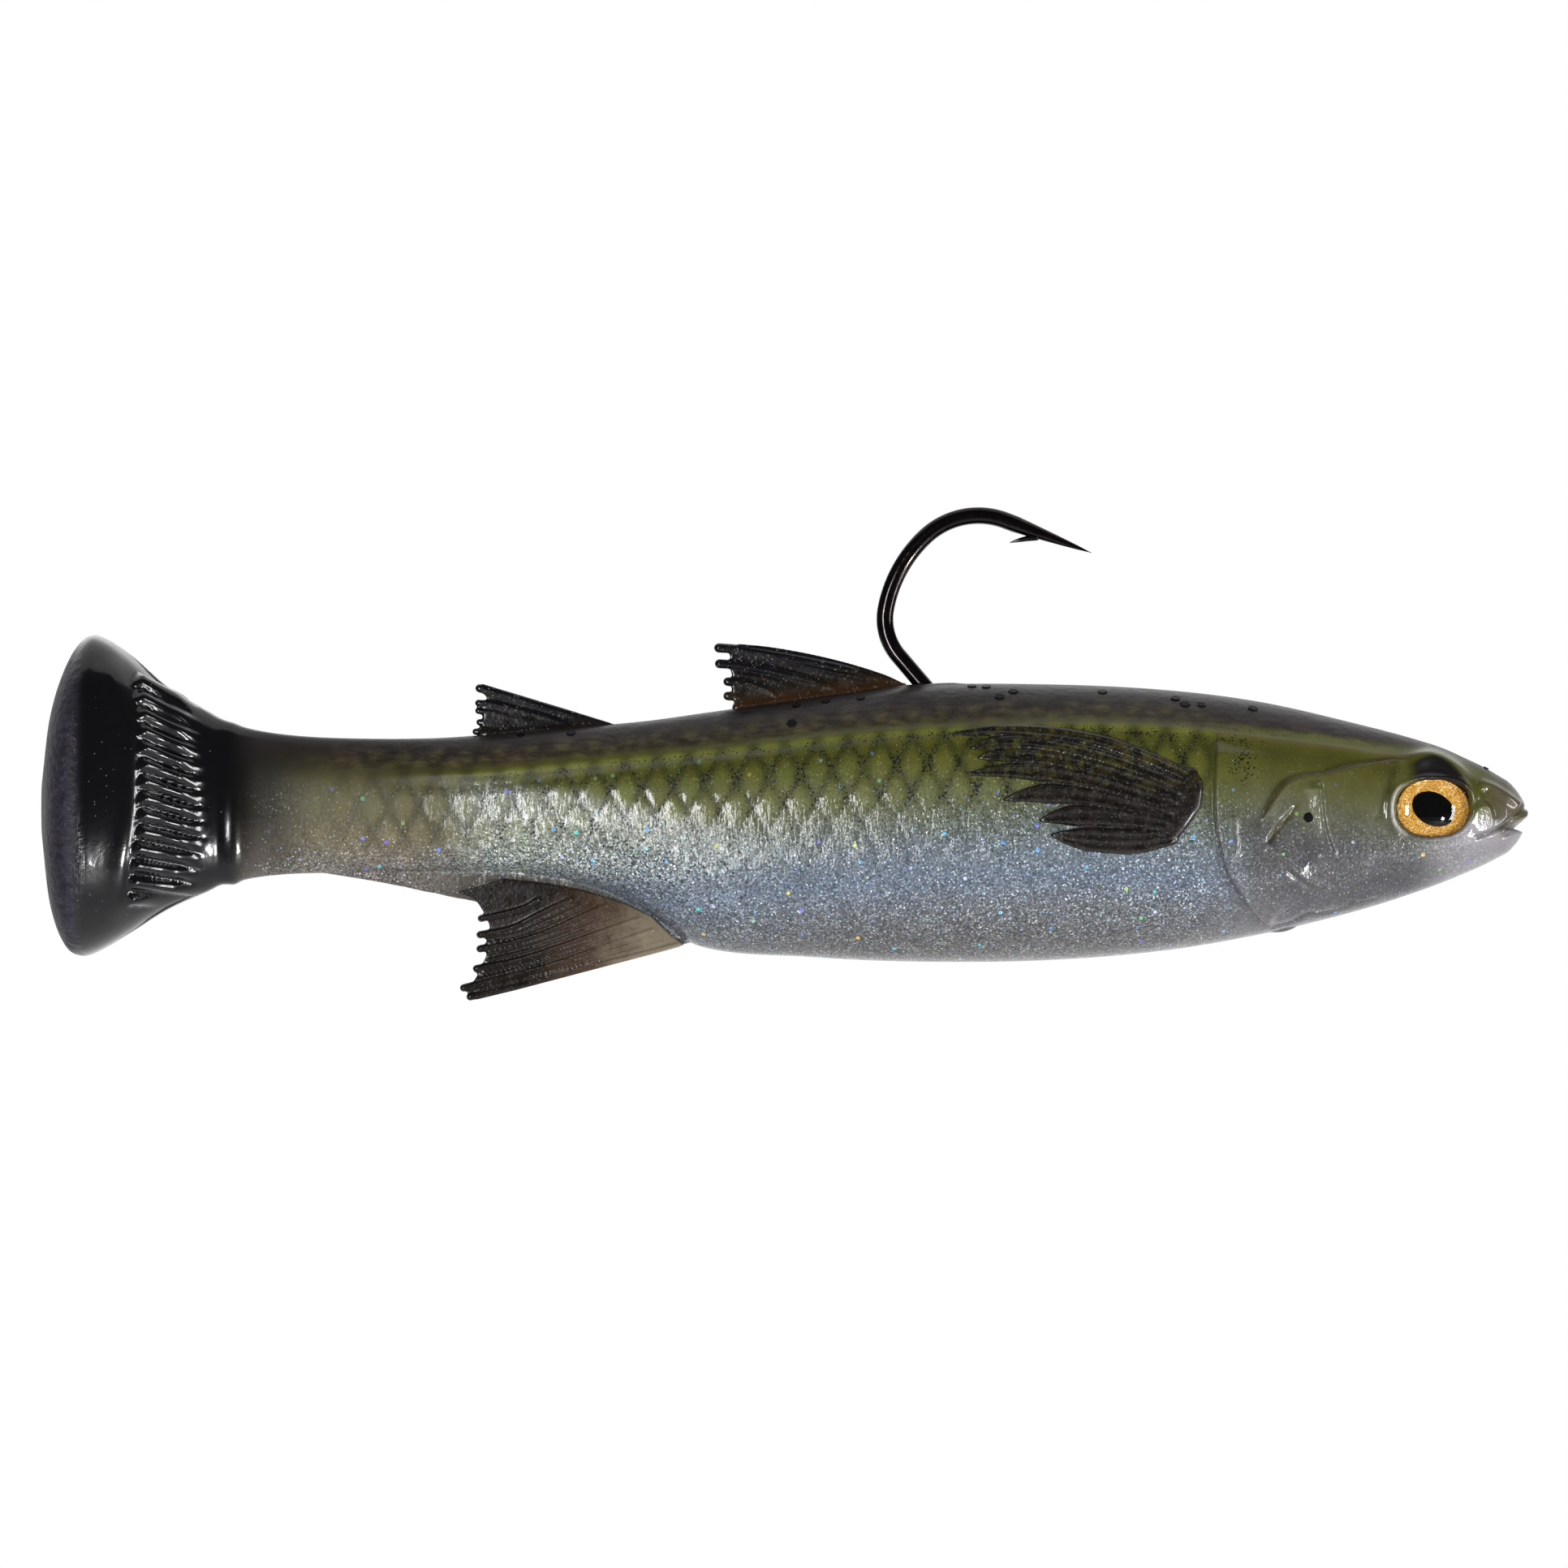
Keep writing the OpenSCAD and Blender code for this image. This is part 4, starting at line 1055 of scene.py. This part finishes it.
class Shader:
    """Builds a Principled material. Each call adds a node and returns the socket that the next one reads."""

    def __init__(self, name, **values):
        self.material = bpy.data.materials.new(name)
        self.material.use_nodes = True
        self.tree = self.material.node_tree
        self.bsdf = self.tree.nodes["Principled BSDF"]
        for key, value in values.items():
            self.bsdf.inputs[key.replace("_", " ")].default_value = value

    def node(self, kind, out, sockets, **settings):
        n = self.tree.nodes.new(kind)
        for key, value in settings.items():
            setattr(n, key, value)
        for key, value in sockets.items():
            if isinstance(value, bpy.types.NodeSocket):
                self.tree.links.new(value, n.inputs[key])
            elif value is not None:
                n.inputs[key].default_value = value
        return n.outputs[out]

    def attribute(self, name, out="Vector"):
        return self.node("ShaderNodeAttribute", out, {}, attribute_name=name)

    def math(self, operation, a, b=0.0, clamp=False):
        return self.node("ShaderNodeMath", 0, {0: a, 1: b}, operation=operation, use_clamp=clamp)

    def times(self, a, b, clamp=False):
        return self.math("MULTIPLY", a, b, clamp)

    def plus(self, a, b, clamp=False):
        return self.math("ADD", a, b, clamp)

    def most(self, a, b):
        return self.math("MAXIMUM", a, b)

    def vector(self, operation, a, b=None, scale=None):
        sockets = {0: a}
        if b is not None:
            sockets[1] = b
        if scale is not None:
            sockets["Scale"] = scale
        return self.node("ShaderNodeVectorMath", 0, sockets, operation=operation)

    def split(self, v, axis):
        return self.node("ShaderNodeSeparateXYZ", axis, {0: v})

    def noise(self, v, scale, detail=2.0, rough=0.5):
        sockets = {"Vector": v, "Scale": scale, "Detail": detail, "Roughness": rough}
        return self.node("ShaderNodeTexNoise", "Fac", sockets)

    def cells(self, v, size, out="Distance"):
        return self.node("ShaderNodeTexVoronoi", out, {"Vector": v, "Scale": 1 / size})

    def dots(self, v, size, edge, core, rare, common):
        """Dots at random places in cells of this size: their cover, and a random number for each."""
        near, pick = self.cells(v, size), self.cells(v, size, "Color")
        return (self.times(self.remap(near, edge, core), self.remap(self.split(pick, 0), rare, common)),
                self.split(pick, 1))

    def remap(self, v, a, b, c=0.0, d=1.0, kind="SMOOTHSTEP"):
        sockets = {"Value": v, "From Min": a, "From Max": b, "To Min": c, "To Max": d}
        return self.node("ShaderNodeMapRange", 0, sockets, interpolation_type=kind)

    def mix(self, t, a, b, blend="MIX"):
        n = self.tree.nodes.new("ShaderNodeMix")
        n.data_type = "RGBA"
        n.blend_type = blend
        for key, value in ((0, t), (6, a), (7, b)):
            if isinstance(value, bpy.types.NodeSocket):
                self.tree.links.new(value, n.inputs[key])
            else:
                n.inputs[key].default_value = (*value, 1.0) if hasattr(value,
                                                                       "__len__") and len(value) == 3 else value
        return n.outputs[2]

    def colours(self, t, *stops):
        n = self.tree.nodes.new("ShaderNodeValToRGB")
        self.tree.links.new(t, n.inputs[0])
        ramp_ = n.color_ramp
        while len(ramp_.elements) < len(stops):
            ramp_.elements.new(0.5)
        for element, (place, colour) in zip(ramp_.elements, stops):
            element.position = place
            element.color = (*colour, 1.0)
        return n.outputs[0]

    def bump(self, height, millimetres, normal=None):
        return self.node("ShaderNodeBump", 0, {"Height": height, "Distance": millimetres * MM,
                                               "Normal": normal})

    def ends_in(self, shader):
        """Makes this shader the material's surface."""
        self.tree.links.new(shader, self.tree.nodes["Material Output"].inputs[0])
        return self.material

    def use(self, **sockets):
        for key, value in sockets.items():
            self.tree.links.new(value, self.bsdf.inputs[key.replace("_", " ")])
        return self.material


FLESH_IOR = 1.34
WET = 0.06


def lin(r, g, b):
    """srgb as a plain tuple, for a node."""
    return tuple(float(v) for v in srgb(r, g, b))


def flake_grains(s, rest, size):
    """Fine glitter: cells with a random brightness and a random tilt."""
    colour = s.cells(rest, size, "Color")
    return colour, s.split(colour, 0), s.split(colour, 1), s.split(colour, 2)


def tilted(s, colour, amount):
    """The surface normal, thrown off at random from cell to cell."""
    geometry = s.node("ShaderNodeNewGeometry", "Normal", {})
    throw = s.vector("SUBTRACT", colour, (0.5, 0.5, 0.5))
    throw = s.vector("SCALE", throw, scale=amount)
    return s.vector("NORMALIZE", s.vector("ADD", geometry, throw))


def skin_material():
    """Soft plastic: painted colour, mottling, glitter, white streaks painted as a highlight, holographic flakes and
    pores under a wet coat.
    """
    s = Shader("soft_skin", IOR=FLESH_IOR, Coat_Roughness=WET, Coat_IOR=1.45)
    rest = s.attribute("rest")
    painted = s.attribute("paint", "Color")
    amounts = s.attribute("amounts")
    pores, glitter, black = (s.split(amounts, i) for i in range(3))
    back, rear, painted_highlight_zone = (s.split(s.attribute("zones"), i) for i in range(3))

    # cloudy unevenness of the casting
    cloud = s.noise(rest, 0.35, 4.0, 0.6)
    colour = s.mix(1.0, painted, s.colours(cloud, (0.3, (0.84, 0.84, 0.86)), (0.7, (1.14, 1.13, 1.1))),
                   "MULTIPLY")

    # the dark back's long, wavy mottling
    wave = s.noise(s.vector("MULTIPLY", rest, (0.55, 1.3, 1.7)), 1.0, 5.0, 0.68)
    mottle = s.colours(wave, (0.38, (0.4, 0.36, 0.4)), (0.5, (0.92, 0.88, 0.94)), (0.63, (1.7, 1.6, 1.66)))
    colour = s.mix(s.times(s.most(back, rear), 0.85), colour, s.mix(1.0, colour, mottle, "MULTIPLY"))

    # fine glitter in the flank
    cells, g1, g2, g3 = flake_grains(s, rest, 0.125)
    bright = s.colours(g1, (0.0, (0.34, 0.36, 0.38)), (0.45, (0.78, 0.8, 0.82)), (0.8, (1.25, 1.3, 1.36)),
                       (1.0, (2.5, 2.6, 2.7)))
    tint = s.colours(g2, (0.0, (0.8, 0.92, 1.22)), (0.35, (1.0, 1.0, 1.0)), (0.7, (1.08, 1.04, 0.94)),
                     (1.0, (0.86, 1.06, 1.08)))
    grain = s.mix(1.0, s.mix(1.0, colour, bright, "MULTIPLY"), tint, "MULTIPLY")
    colour = s.mix(s.times(glitter, 0.78), colour, grain)

    # sparse bright specks, and white streaks painted as a highlight in the flank's brightest part
    spot, pick = s.dots(rest, 0.32, 0.3, 0.18, 0.5, 0.55)
    spot_tint = s.colours(pick, (0.0, lin(140, 185, 255)), (0.3, lin(232, 238, 245)),
                          (0.65, lin(255, 250, 235)),
                          (0.85, lin(150, 235, 225)), (1.0, lin(190, 170, 255)))
    colour = s.mix(s.times(spot, s.times(glitter, 0.7, True)), colour, spot_tint)
    streaks = s.noise(s.vector("MULTIPLY", rest, (3.0, 3.0, 0.95)), 1.0, 2.5, 0.6)
    painted_streak = s.times(s.remap(streaks, 0.54, 0.66), s.times(painted_highlight_zone, 0.62))
    colour = s.mix(painted_streak, colour, lin(236, 238, 234))

    # larger holographic flakes
    flake, pick = s.dots(rest, 1.5, 0.135, 0.11, 0.5, 0.52)
    holo = s.colours(pick, (0.0, lin(90, 235, 215)), (0.26, lin(132, 112, 240)), (0.46, lin(120, 185, 250)),
                     (0.64, lin(140, 240, 245)),
                     (0.8, lin(214, 206, 255)), (0.9, lin(120, 230, 140)), (1.0, lin(250, 190, 90)))
    colour = s.mix(s.times(flake, s.times(glitter, 1.6, True)), colour, holo)

    # pores: tiny black dots, crowded where the scales meet
    size = s.times(s.times(pores, 0.5), s.remap(s.noise(rest, 1.1, 2.0), 0.38, 0.5, 0.5, 1.0))
    pore = s.remap(s.math("SUBTRACT", size, s.cells(rest, 0.25)), 0.0, 0.05)
    colour = s.mix(s.times(pore, 0.9), colour, lin(10, 9, 8))

    # a few specks of light in the black tail
    speck, _ = s.dots(rest, 0.5, 0.13, 0.1, 0.72, 0.76)
    colour = s.mix(s.times(s.times(speck, black), 0.6), colour, lin(120, 124, 140))

    facets = tilted(s, cells, s.times(glitter, 0.7))
    pebble = s.noise(rest, 1.5, 4.0, 0.6)
    rugged = s.plus(s.times(rear, 3.5), s.times(back, 0.5))
    lumps = s.times(pebble, s.plus(0.3, s.times(rugged, 2.6)))
    height = s.plus(s.times(streaks, s.times(glitter, 1.6)), lumps)
    normal = s.bump(height, 0.05, facets)
    coat = s.bump(height, 0.04)
    metal = s.times(s.times(glitter, s.remap(g3, 0.35, 0.75)), 0.75)
    rough = s.plus(s.plus(0.42, s.times(black, -0.24)), s.most(s.times(rear, 0.4), s.times(back, 0.12)))
    along = s.split(rest, 0)
    stem = s.times(s.remap(along, -85.0, -95.0), s.remap(along, -109.0, -106.0))
    dull = s.most(s.most(stem, rear), s.times(back, 0.85))
    gloss = s.times(0.66, s.math("SUBTRACT", 1.0, s.times(dull, 0.85)))
    return s.use(Base_Color=colour, Normal=normal, Coat_Normal=coat, Metallic=metal, Roughness=rough,
                 Coat_Weight=gloss)


def fin_material(name, shallow, deep, near, far, axis, rib_tint, sparkle=0.3, coat=0.6):
    """Dark fin plastic. It goes from shallow to deep in colour between near and far, along axis, in millimetres."""
    s = Shader(name, IOR=FLESH_IOR, Coat_Weight=coat, Coat_Roughness=WET)
    rest = s.attribute("rest")
    reach = s.node("ShaderNodeVectorMath", "Value", {0: rest, 1: axis}, operation="DOT_PRODUCT")
    wave = s.noise(rest, 0.55, 3.0, 0.6)
    t = s.plus(s.remap(reach, near, far, 0.0, 1.0, "LINEAR"), s.times(s.math("SUBTRACT", wave, 0.5), 0.45),
               True)
    colour = s.colours(t, (0.0, shallow), (0.35, rib_tint), (0.75, deep), (1.0, deep))
    cells, g1, g2, g3 = flake_grains(s, rest, 0.11)
    light = s.remap(g1, 0.95, 0.985)
    tint = s.colours(g2, (0.0, lin(130, 140, 190)), (0.4, lin(210, 206, 194)), (0.75, lin(190, 170, 120)),
                     (1.0, lin(140, 110, 70)))
    colour = s.mix(s.times(light, sparkle), colour, tint)
    normal = s.bump(s.noise(rest, 3.0, 3.0, 0.6), 0.03, tilted(s, cells, s.times(light, 0.5)))
    rough = s.remap(s.noise(rest, 1.2, 2.0), 0.3, 0.7, 0.2, 0.34)
    return s.use(Base_Color=colour, Normal=normal, Roughness=rough)


def pectoral_material():
    """The pectoral fins' dark, mottled plastic."""
    s = Shader("pectoral_plastic", IOR=FLESH_IOR, Coat_Weight=0.4, Coat_Roughness=WET)
    rest = s.attribute("rest")
    z = s.split(rest, 2)
    mottle = s.noise(rest, 1.1, 4.0, 0.65)
    olive = s.mix(s.remap(z, 1.5, 6.5), lin(38, 32, 30), lin(66, 62, 16))
    colour = s.mix(s.remap(mottle, 0.42, 0.66), lin(20, 16, 12), olive)
    pores = s.remap(s.cells(rest, 0.36), 0.22, 0.14)
    colour = s.mix(s.times(pores, 0.8), colour, lin(9, 8, 7))
    cells, g1, g2, g3 = flake_grains(s, rest, 0.11)
    colour = s.mix(s.times(s.remap(g1, 0.9, 0.98), 0.3), colour, lin(120, 124, 120))
    normal = s.bump(s.noise(rest, 2.4, 3.0, 0.6), 0.03)
    rough = s.remap(mottle, 0.3, 0.7, 0.26, 0.4)
    return s.use(Base_Color=colour, Normal=normal, Roughness=rough)


def wire_material():
    """Black nickel plating with fine wear."""
    s = Shader("black_nickel", Metallic=1.0, Coat_Weight=0.25, Coat_Roughness=WET)
    rest = s.attribute("rest")
    wear = s.noise(rest, 0.8, 4.0, 0.6)
    colour = s.colours(wear, (0.3, lin(38, 34, 35)), (0.6, lin(54, 48, 47)), (0.8, lin(84, 72, 66)))
    scuff = s.noise(s.vector("MULTIPLY", rest, (1.0, 6.0, 1.0)), 3.0, 3.0, 0.7)
    rough = s.remap(scuff, 0.35, 0.75, 0.1, 0.24)
    return s.use(Base_Color=colour, Roughness=rough, Normal=s.bump(scuff, 0.006))


def foil_material():
    """The eye's gold foil, with a tilt and a shade for each grain."""
    s = Shader("gold_glitter_foil", IOR=1.5, Coat_Weight=0.3, Coat_Roughness=0.08)
    rest = s.attribute("rest")
    cells, g1, g2, g3 = flake_grains(s, rest, 0.075)
    colour = s.colours(g1, (0.0, lin(176, 112, 24)), (0.4, lin(226, 158, 44)), (0.75, lin(250, 200, 84)),
                       (1.0, lin(255, 242, 190)))
    colour = s.mix(s.remap(g2, 0.85, 0.95), colour, lin(176, 112, 22))
    metal = s.remap(g3, 0.2, 0.8, 0.0, 0.15)
    return s.use(Base_Color=colour, Metallic=metal, Normal=tilted(s, cells, 0.4),
                 Roughness=s.remap(g2, 0.0, 1.0, 0.22, 0.42))


def pupil_material():
    """The pupil's black ink, nearly without gloss of its own under the dome."""
    s = Shader("pupil_black", IOR=1.06)
    rest = s.attribute("rest")
    colour = s.colours(s.noise(rest, 3.0, 3.0), (0.3, lin(3, 3, 4)), (0.7, lin(9, 9, 10)))
    return s.use(Base_Color=colour, Roughness=s.remap(s.noise(rest, 5.0), 0.3, 0.7, 0.18, 0.3))


def clear_material():
    """Clear cast epoxy: it passes what is behind it and adds its own gloss. Only its outer face shines, because a
    straight ray from inside would meet a mirror that real epoxy doesn't show."""
    s = Shader("clear_epoxy")
    s.tree.nodes.remove(s.bsdf)
    ripple = s.bump(s.noise(s.attribute("rest"), 0.6), 0.01)
    outer = s.math("SUBTRACT", 1.0, s.node("ShaderNodeNewGeometry", "Backfacing", {}))
    share = s.times(s.node("ShaderNodeFresnel", 0, {"IOR": 1.5, "Normal": ripple}), outer)
    through = s.node("ShaderNodeBsdfTransparent", 0, {0: (0.98, 0.975, 0.96, 1)})
    gloss = s.node("ShaderNodeBsdfGlossy", 0, {"Roughness": 0.03, "Normal": ripple})
    return s.ends_in(s.node("ShaderNodeMixShader", 0, {0: share, 1: through, 2: gloss}))


def flake_material():
    """The black of the coarse flakes."""
    s = Shader("black_flake", IOR=1.25)
    rest = s.attribute("rest")
    colour = s.colours(s.noise(rest, 2.0, 3.0), (0.3, lin(4, 4, 6)), (0.7, lin(14, 13, 18)))
    return s.use(Base_Color=colour, Roughness=s.remap(s.noise(rest, 4.0), 0.3, 0.7, 0.35, 0.55))


def lead_material():
    """Cast lead with pits and grey clouds."""
    s = Shader("cast_lead", Metallic=0.7)
    rest = s.vector("SCALE", s.node("ShaderNodeTexCoord", "Object", {}), scale=1 / MM)
    grey = s.noise(rest, 0.5, 5.0, 0.65)
    colour = s.colours(grey, (0.3, lin(86, 88, 92)), (0.55, lin(122, 124, 128)), (0.75, lin(150, 152, 156)))
    pits = s.noise(rest, 3.0, 4.0, 0.7)
    return s.use(Base_Color=colour, Roughness=s.remap(grey, 0.3, 0.7, 0.45, 0.7), Normal=s.bump(pits, 0.06))


def tube_material():
    """The line tube's milky plastic, drawn lengthwise."""
    s = Shader("tube_plastic", IOR=1.46)
    rest = s.vector("SCALE", s.node("ShaderNodeTexCoord", "Object", {}), scale=1 / MM)
    milk = s.noise(rest, 0.8, 3.0, 0.5)
    colour = s.colours(milk, (0.3, lin(206, 206, 198)), (0.7, lin(228, 228, 222)))
    lines = s.noise(s.vector("MULTIPLY", rest, (0.2, 3.0, 3.0)), 2.0, 2.0)
    return s.use(Base_Color=colour, Roughness=s.remap(milk, 0.3, 0.7, 0.3, 0.42), Normal=s.bump(lines, 0.01))


def dress(obj, material):
    """Gives a piece its material."""
    obj.data.materials.clear()
    obj.data.materials.append(material)


def dress_node(name, material):
    """Gives a CAD node that stays in sight its material."""
    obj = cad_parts[name]
    obj.data.materials.clear()
    obj.data.materials.append(material)


# --- The object -------------------------------------------------------------------------------------


# The fins: body and node, shape, look (colours, reach of the change, its axis, ray tint, sparkle, coat), the body
# they root in, and where they start and stop bending
FINS = (
    ("front_dorsal", build_front_dorsal,
     (lin(62, 38, 14), lin(9, 9, 15), 19.3, 22.6, (-0.135, 0, 1.0), lin(26, 21, 10)), "front", (-60, 11.1),
     (-60.2, 12.9)),
    ("rear_dorsal", build_rear_dorsal,
     (lin(22, 15, 10), lin(6, 6, 12), 14.4, 17.0, (-0.075, 0, 1.0), lin(11, 9, 9)), "rear", (-83, 8.4),
     (-83, 9.9)),
    ("anal", build_anal,
     (lin(128, 117, 98), lin(20, 14, 10), 72.0, 85.0, (-1.0, 0, 0.2), lin(66, 48, 34), 0.1, 0.2), "rear",
     (-79.6, -8.2), (-80.0, -10.2)),
)

# Where a length of skin bends: bodies before and after, x of the bend's start and end, the node it replaces
BENDS_OF_SKIN = (
    ("front", "rear", -63.8, -74.8, "rear_body"),
    ("rear", "stem", -92.3, -100.7, "tail_stem"),
    ("stem", "tail", -102.0, -110.4, "tail_paddle"),
)


def build_lure():
    """Every piece with its material; the head's skin, the pectorals, the eyes, the hook and the flakes each go with a
    body.
    """
    skin = skin_material()
    head, trunk, stem, tail = build_skin()
    for piece, slot in ((head, "soft_body"), (trunk, "soft_body"), (stem, "soft_body"), (tail, "soft_tail")):
        dress(piece, skin)
    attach(head, "front")
    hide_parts("front_body")
    for piece, (before, after, start, end, node) in zip((trunk, stem, tail), BENDS_OF_SKIN):
        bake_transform(piece)
        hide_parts(node)

    for name, build, look, root, start, end in FINS:
        fin = build()
        dress(fin, fin_material(name + "_plastic", *look))
        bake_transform(fin)
        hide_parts(name + "_fin")

    pectoral = pectoral_material()
    foil, pupil, clear = foil_material(), pupil_material(), clear_material()
    for side, word in ((LEFT, "left"), (RIGHT, "right")):
        fin = build_pectoral(side)
        dress(fin, pectoral)
        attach(fin, "front")
        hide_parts("pectoral_fin_" + word)
        disc, spot, dome = build_eye(side)
        for piece, material, slot, node in ((disc, foil, "eye_foil", "eye_foil_"),
                                            (spot, pupil, "pupil_black", "pupil_"),
                                            (dome, clear, "eye_clear", "eye_dome_")):
            dress(piece, material)
            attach(piece, "front")
            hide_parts(node + word)

    hook = build_hook()
    dress(hook, wire_material())
    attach(hook, "hook")
    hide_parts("hook")

    black = flake_material()
    for name, table, spare, low, high, body in (("back_flakes_front", FLAKES_FRONT, 16, -60, -12, "front"),
                                                ("back_flakes_rear", FLAKES_REAR, 3, -90, -77, "rear")):
        flakes = build_flakes(name, table, spare, low, high)
        dress(flakes, black)
        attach(flakes, body)

    dress_node("keel_weight", lead_material())
    dress_node("line_tube", tube_material())


# --- The studio -------------------------------------------------------------------------------------

VIEW_CENTRE = Vector((-62.14, 0, 3.675)) * MM
VIEW_WIDTH = 133.98 * MM
CAMERA_DISTANCE = 1.1
SENSOR = 36
FLOOR_Z = -500 * MM
FLOOR_FRONT_Y = -1.1
WALL_Y, WALL_BEND, WALL_TOP, WALL_HALF = 1.65, 0.5, 4.5, 4.4
# How strongly the room lights the lure, and how bright a camera sees it
ROOM_LIGHT = 0.08
ROOM_SEEN = 1.0


def aim(obj, target):
    """Turns a lamp or the camera to look at a point."""
    obj.rotation_euler = (Vector(target) - obj.location).to_track_quat("-Z", "Y").to_euler()


def softbox(name, place, width, height, power, target=(-0.062, 0, 0.002)):
    """A lamp with a lit rectangle, which no camera sees."""
    data = bpy.data.lights.new(name, "AREA")
    data.shape = "RECTANGLE"
    data.size, data.size_y = width, height
    data.energy = power
    obj = bpy.data.objects.new(name, data)
    bpy.context.scene.collection.objects.link(obj)
    obj.location = place
    obj.visible_camera = False
    aim(obj, target)
    return obj


def build_floor():
    """A pale floor that curves up into a backdrop, which stands farther out than any view's camera."""
    bend = WALL_BEND
    start = WALL_Y - bend
    profile = [(FLOOR_FRONT_Y, 0.0), (start, 0.0)]
    profile += [(start + bend * math.sin(a), bend - bend * math.cos(a)) for a in np.linspace(0, math.pi / 2,
                                                                                             24)[1:]]
    profile += [(WALL_Y, WALL_TOP)]
    points = [(x, y, FLOOR_Z + z) for y, z in profile for x in (-WALL_HALF, WALL_HALF)]
    faces = [(2 * i, 2 * i + 1, 2 * i + 3, 2 * i + 2) for i in range(len(profile) - 1)]
    mesh = bpy.data.meshes.new("floor")
    mesh.from_pydata(points, [], faces)
    mesh.shade_smooth()
    floor = bpy.data.objects.new("floor", mesh)
    bpy.context.scene.collection.objects.link(floor)
    s = Shader("pale_paper", Roughness=0.9)
    coordinates = s.node("ShaderNodeTexCoord", "Object", {})
    colour = s.colours(s.noise(coordinates, 3.0, 2.0), (0.3, (0.86, 0.86, 0.86)), (0.7, (0.89, 0.89, 0.89)))
    s.use(Base_Color=colour)
    # from every side the camera sees the same plain white paper, and the lure is lit by the real one
    camera_ray = s.node("ShaderNodeLightPath", "Is Camera Ray", {})
    seen = s.node("ShaderNodeEmission", 0, {"Strength": ROOM_SEEN})
    s.ends_in(s.node("ShaderNodeMixShader", 0, {0: camera_ray, 1: s.bsdf.outputs[0], 2: seen}))
    s.material.cycles.emission_sampling = "NONE"
    mesh.materials.append(s.material)


def build_studio():
    """World, floor, lamps and the camera at the photo's place."""
    scene = bpy.context.scene
    scene.view_settings.view_transform = "Standard"
    scene.view_settings.look = "None"
    world = bpy.data.worlds.new("studio")
    world.use_nodes = True
    pale = world.node_tree.nodes["Background"]
    pale.inputs[0].default_value = (1.0, 1.0, 1.0, 1)
    ray = world.node_tree.nodes.new("ShaderNodeLightPath")
    level = world.node_tree.nodes.new("ShaderNodeMapRange")
    level.inputs["To Min"].default_value = ROOM_LIGHT
    level.inputs["To Max"].default_value = ROOM_SEEN
    world.node_tree.links.new(ray.outputs["Is Camera Ray"], level.inputs["Value"])
    world.node_tree.links.new(level.outputs["Result"], pale.inputs[1])
    scene.world = world
    build_floor()
    softbox("overhead", (-0.06, 0.35, 0.75), 1.8, 1.3, 5.0)
    softbox("strip_left", (-0.32, -0.62, -0.04), 0.075, 0.36, 2.7)
    softbox("lamp_right", (0.6, -0.58, -0.4), 0.1, 0.11, 2.5)
    softbox("strip_side", (0.42, -0.2, -0.08), 0.06, 0.3, 1.2)
    softbox("backdrop_light", (-0.06, 0.66, 0.77), 2.6, 0.66, 24.0, (-0.06, WALL_Y, 0.11))
    data = bpy.data.cameras.new("camera")
    camera = bpy.data.objects.new("camera", data)
    scene.collection.objects.link(camera)
    data.sensor_width = SENSOR
    data.lens = SENSOR * CAMERA_DISTANCE / VIEW_WIDTH
    camera.location = VIEW_CENTRE + Vector((0, -CAMERA_DISTANCE, 0))
    aim(camera, VIEW_CENTRE)
    scene.camera = camera


build_lure()
build_studio()
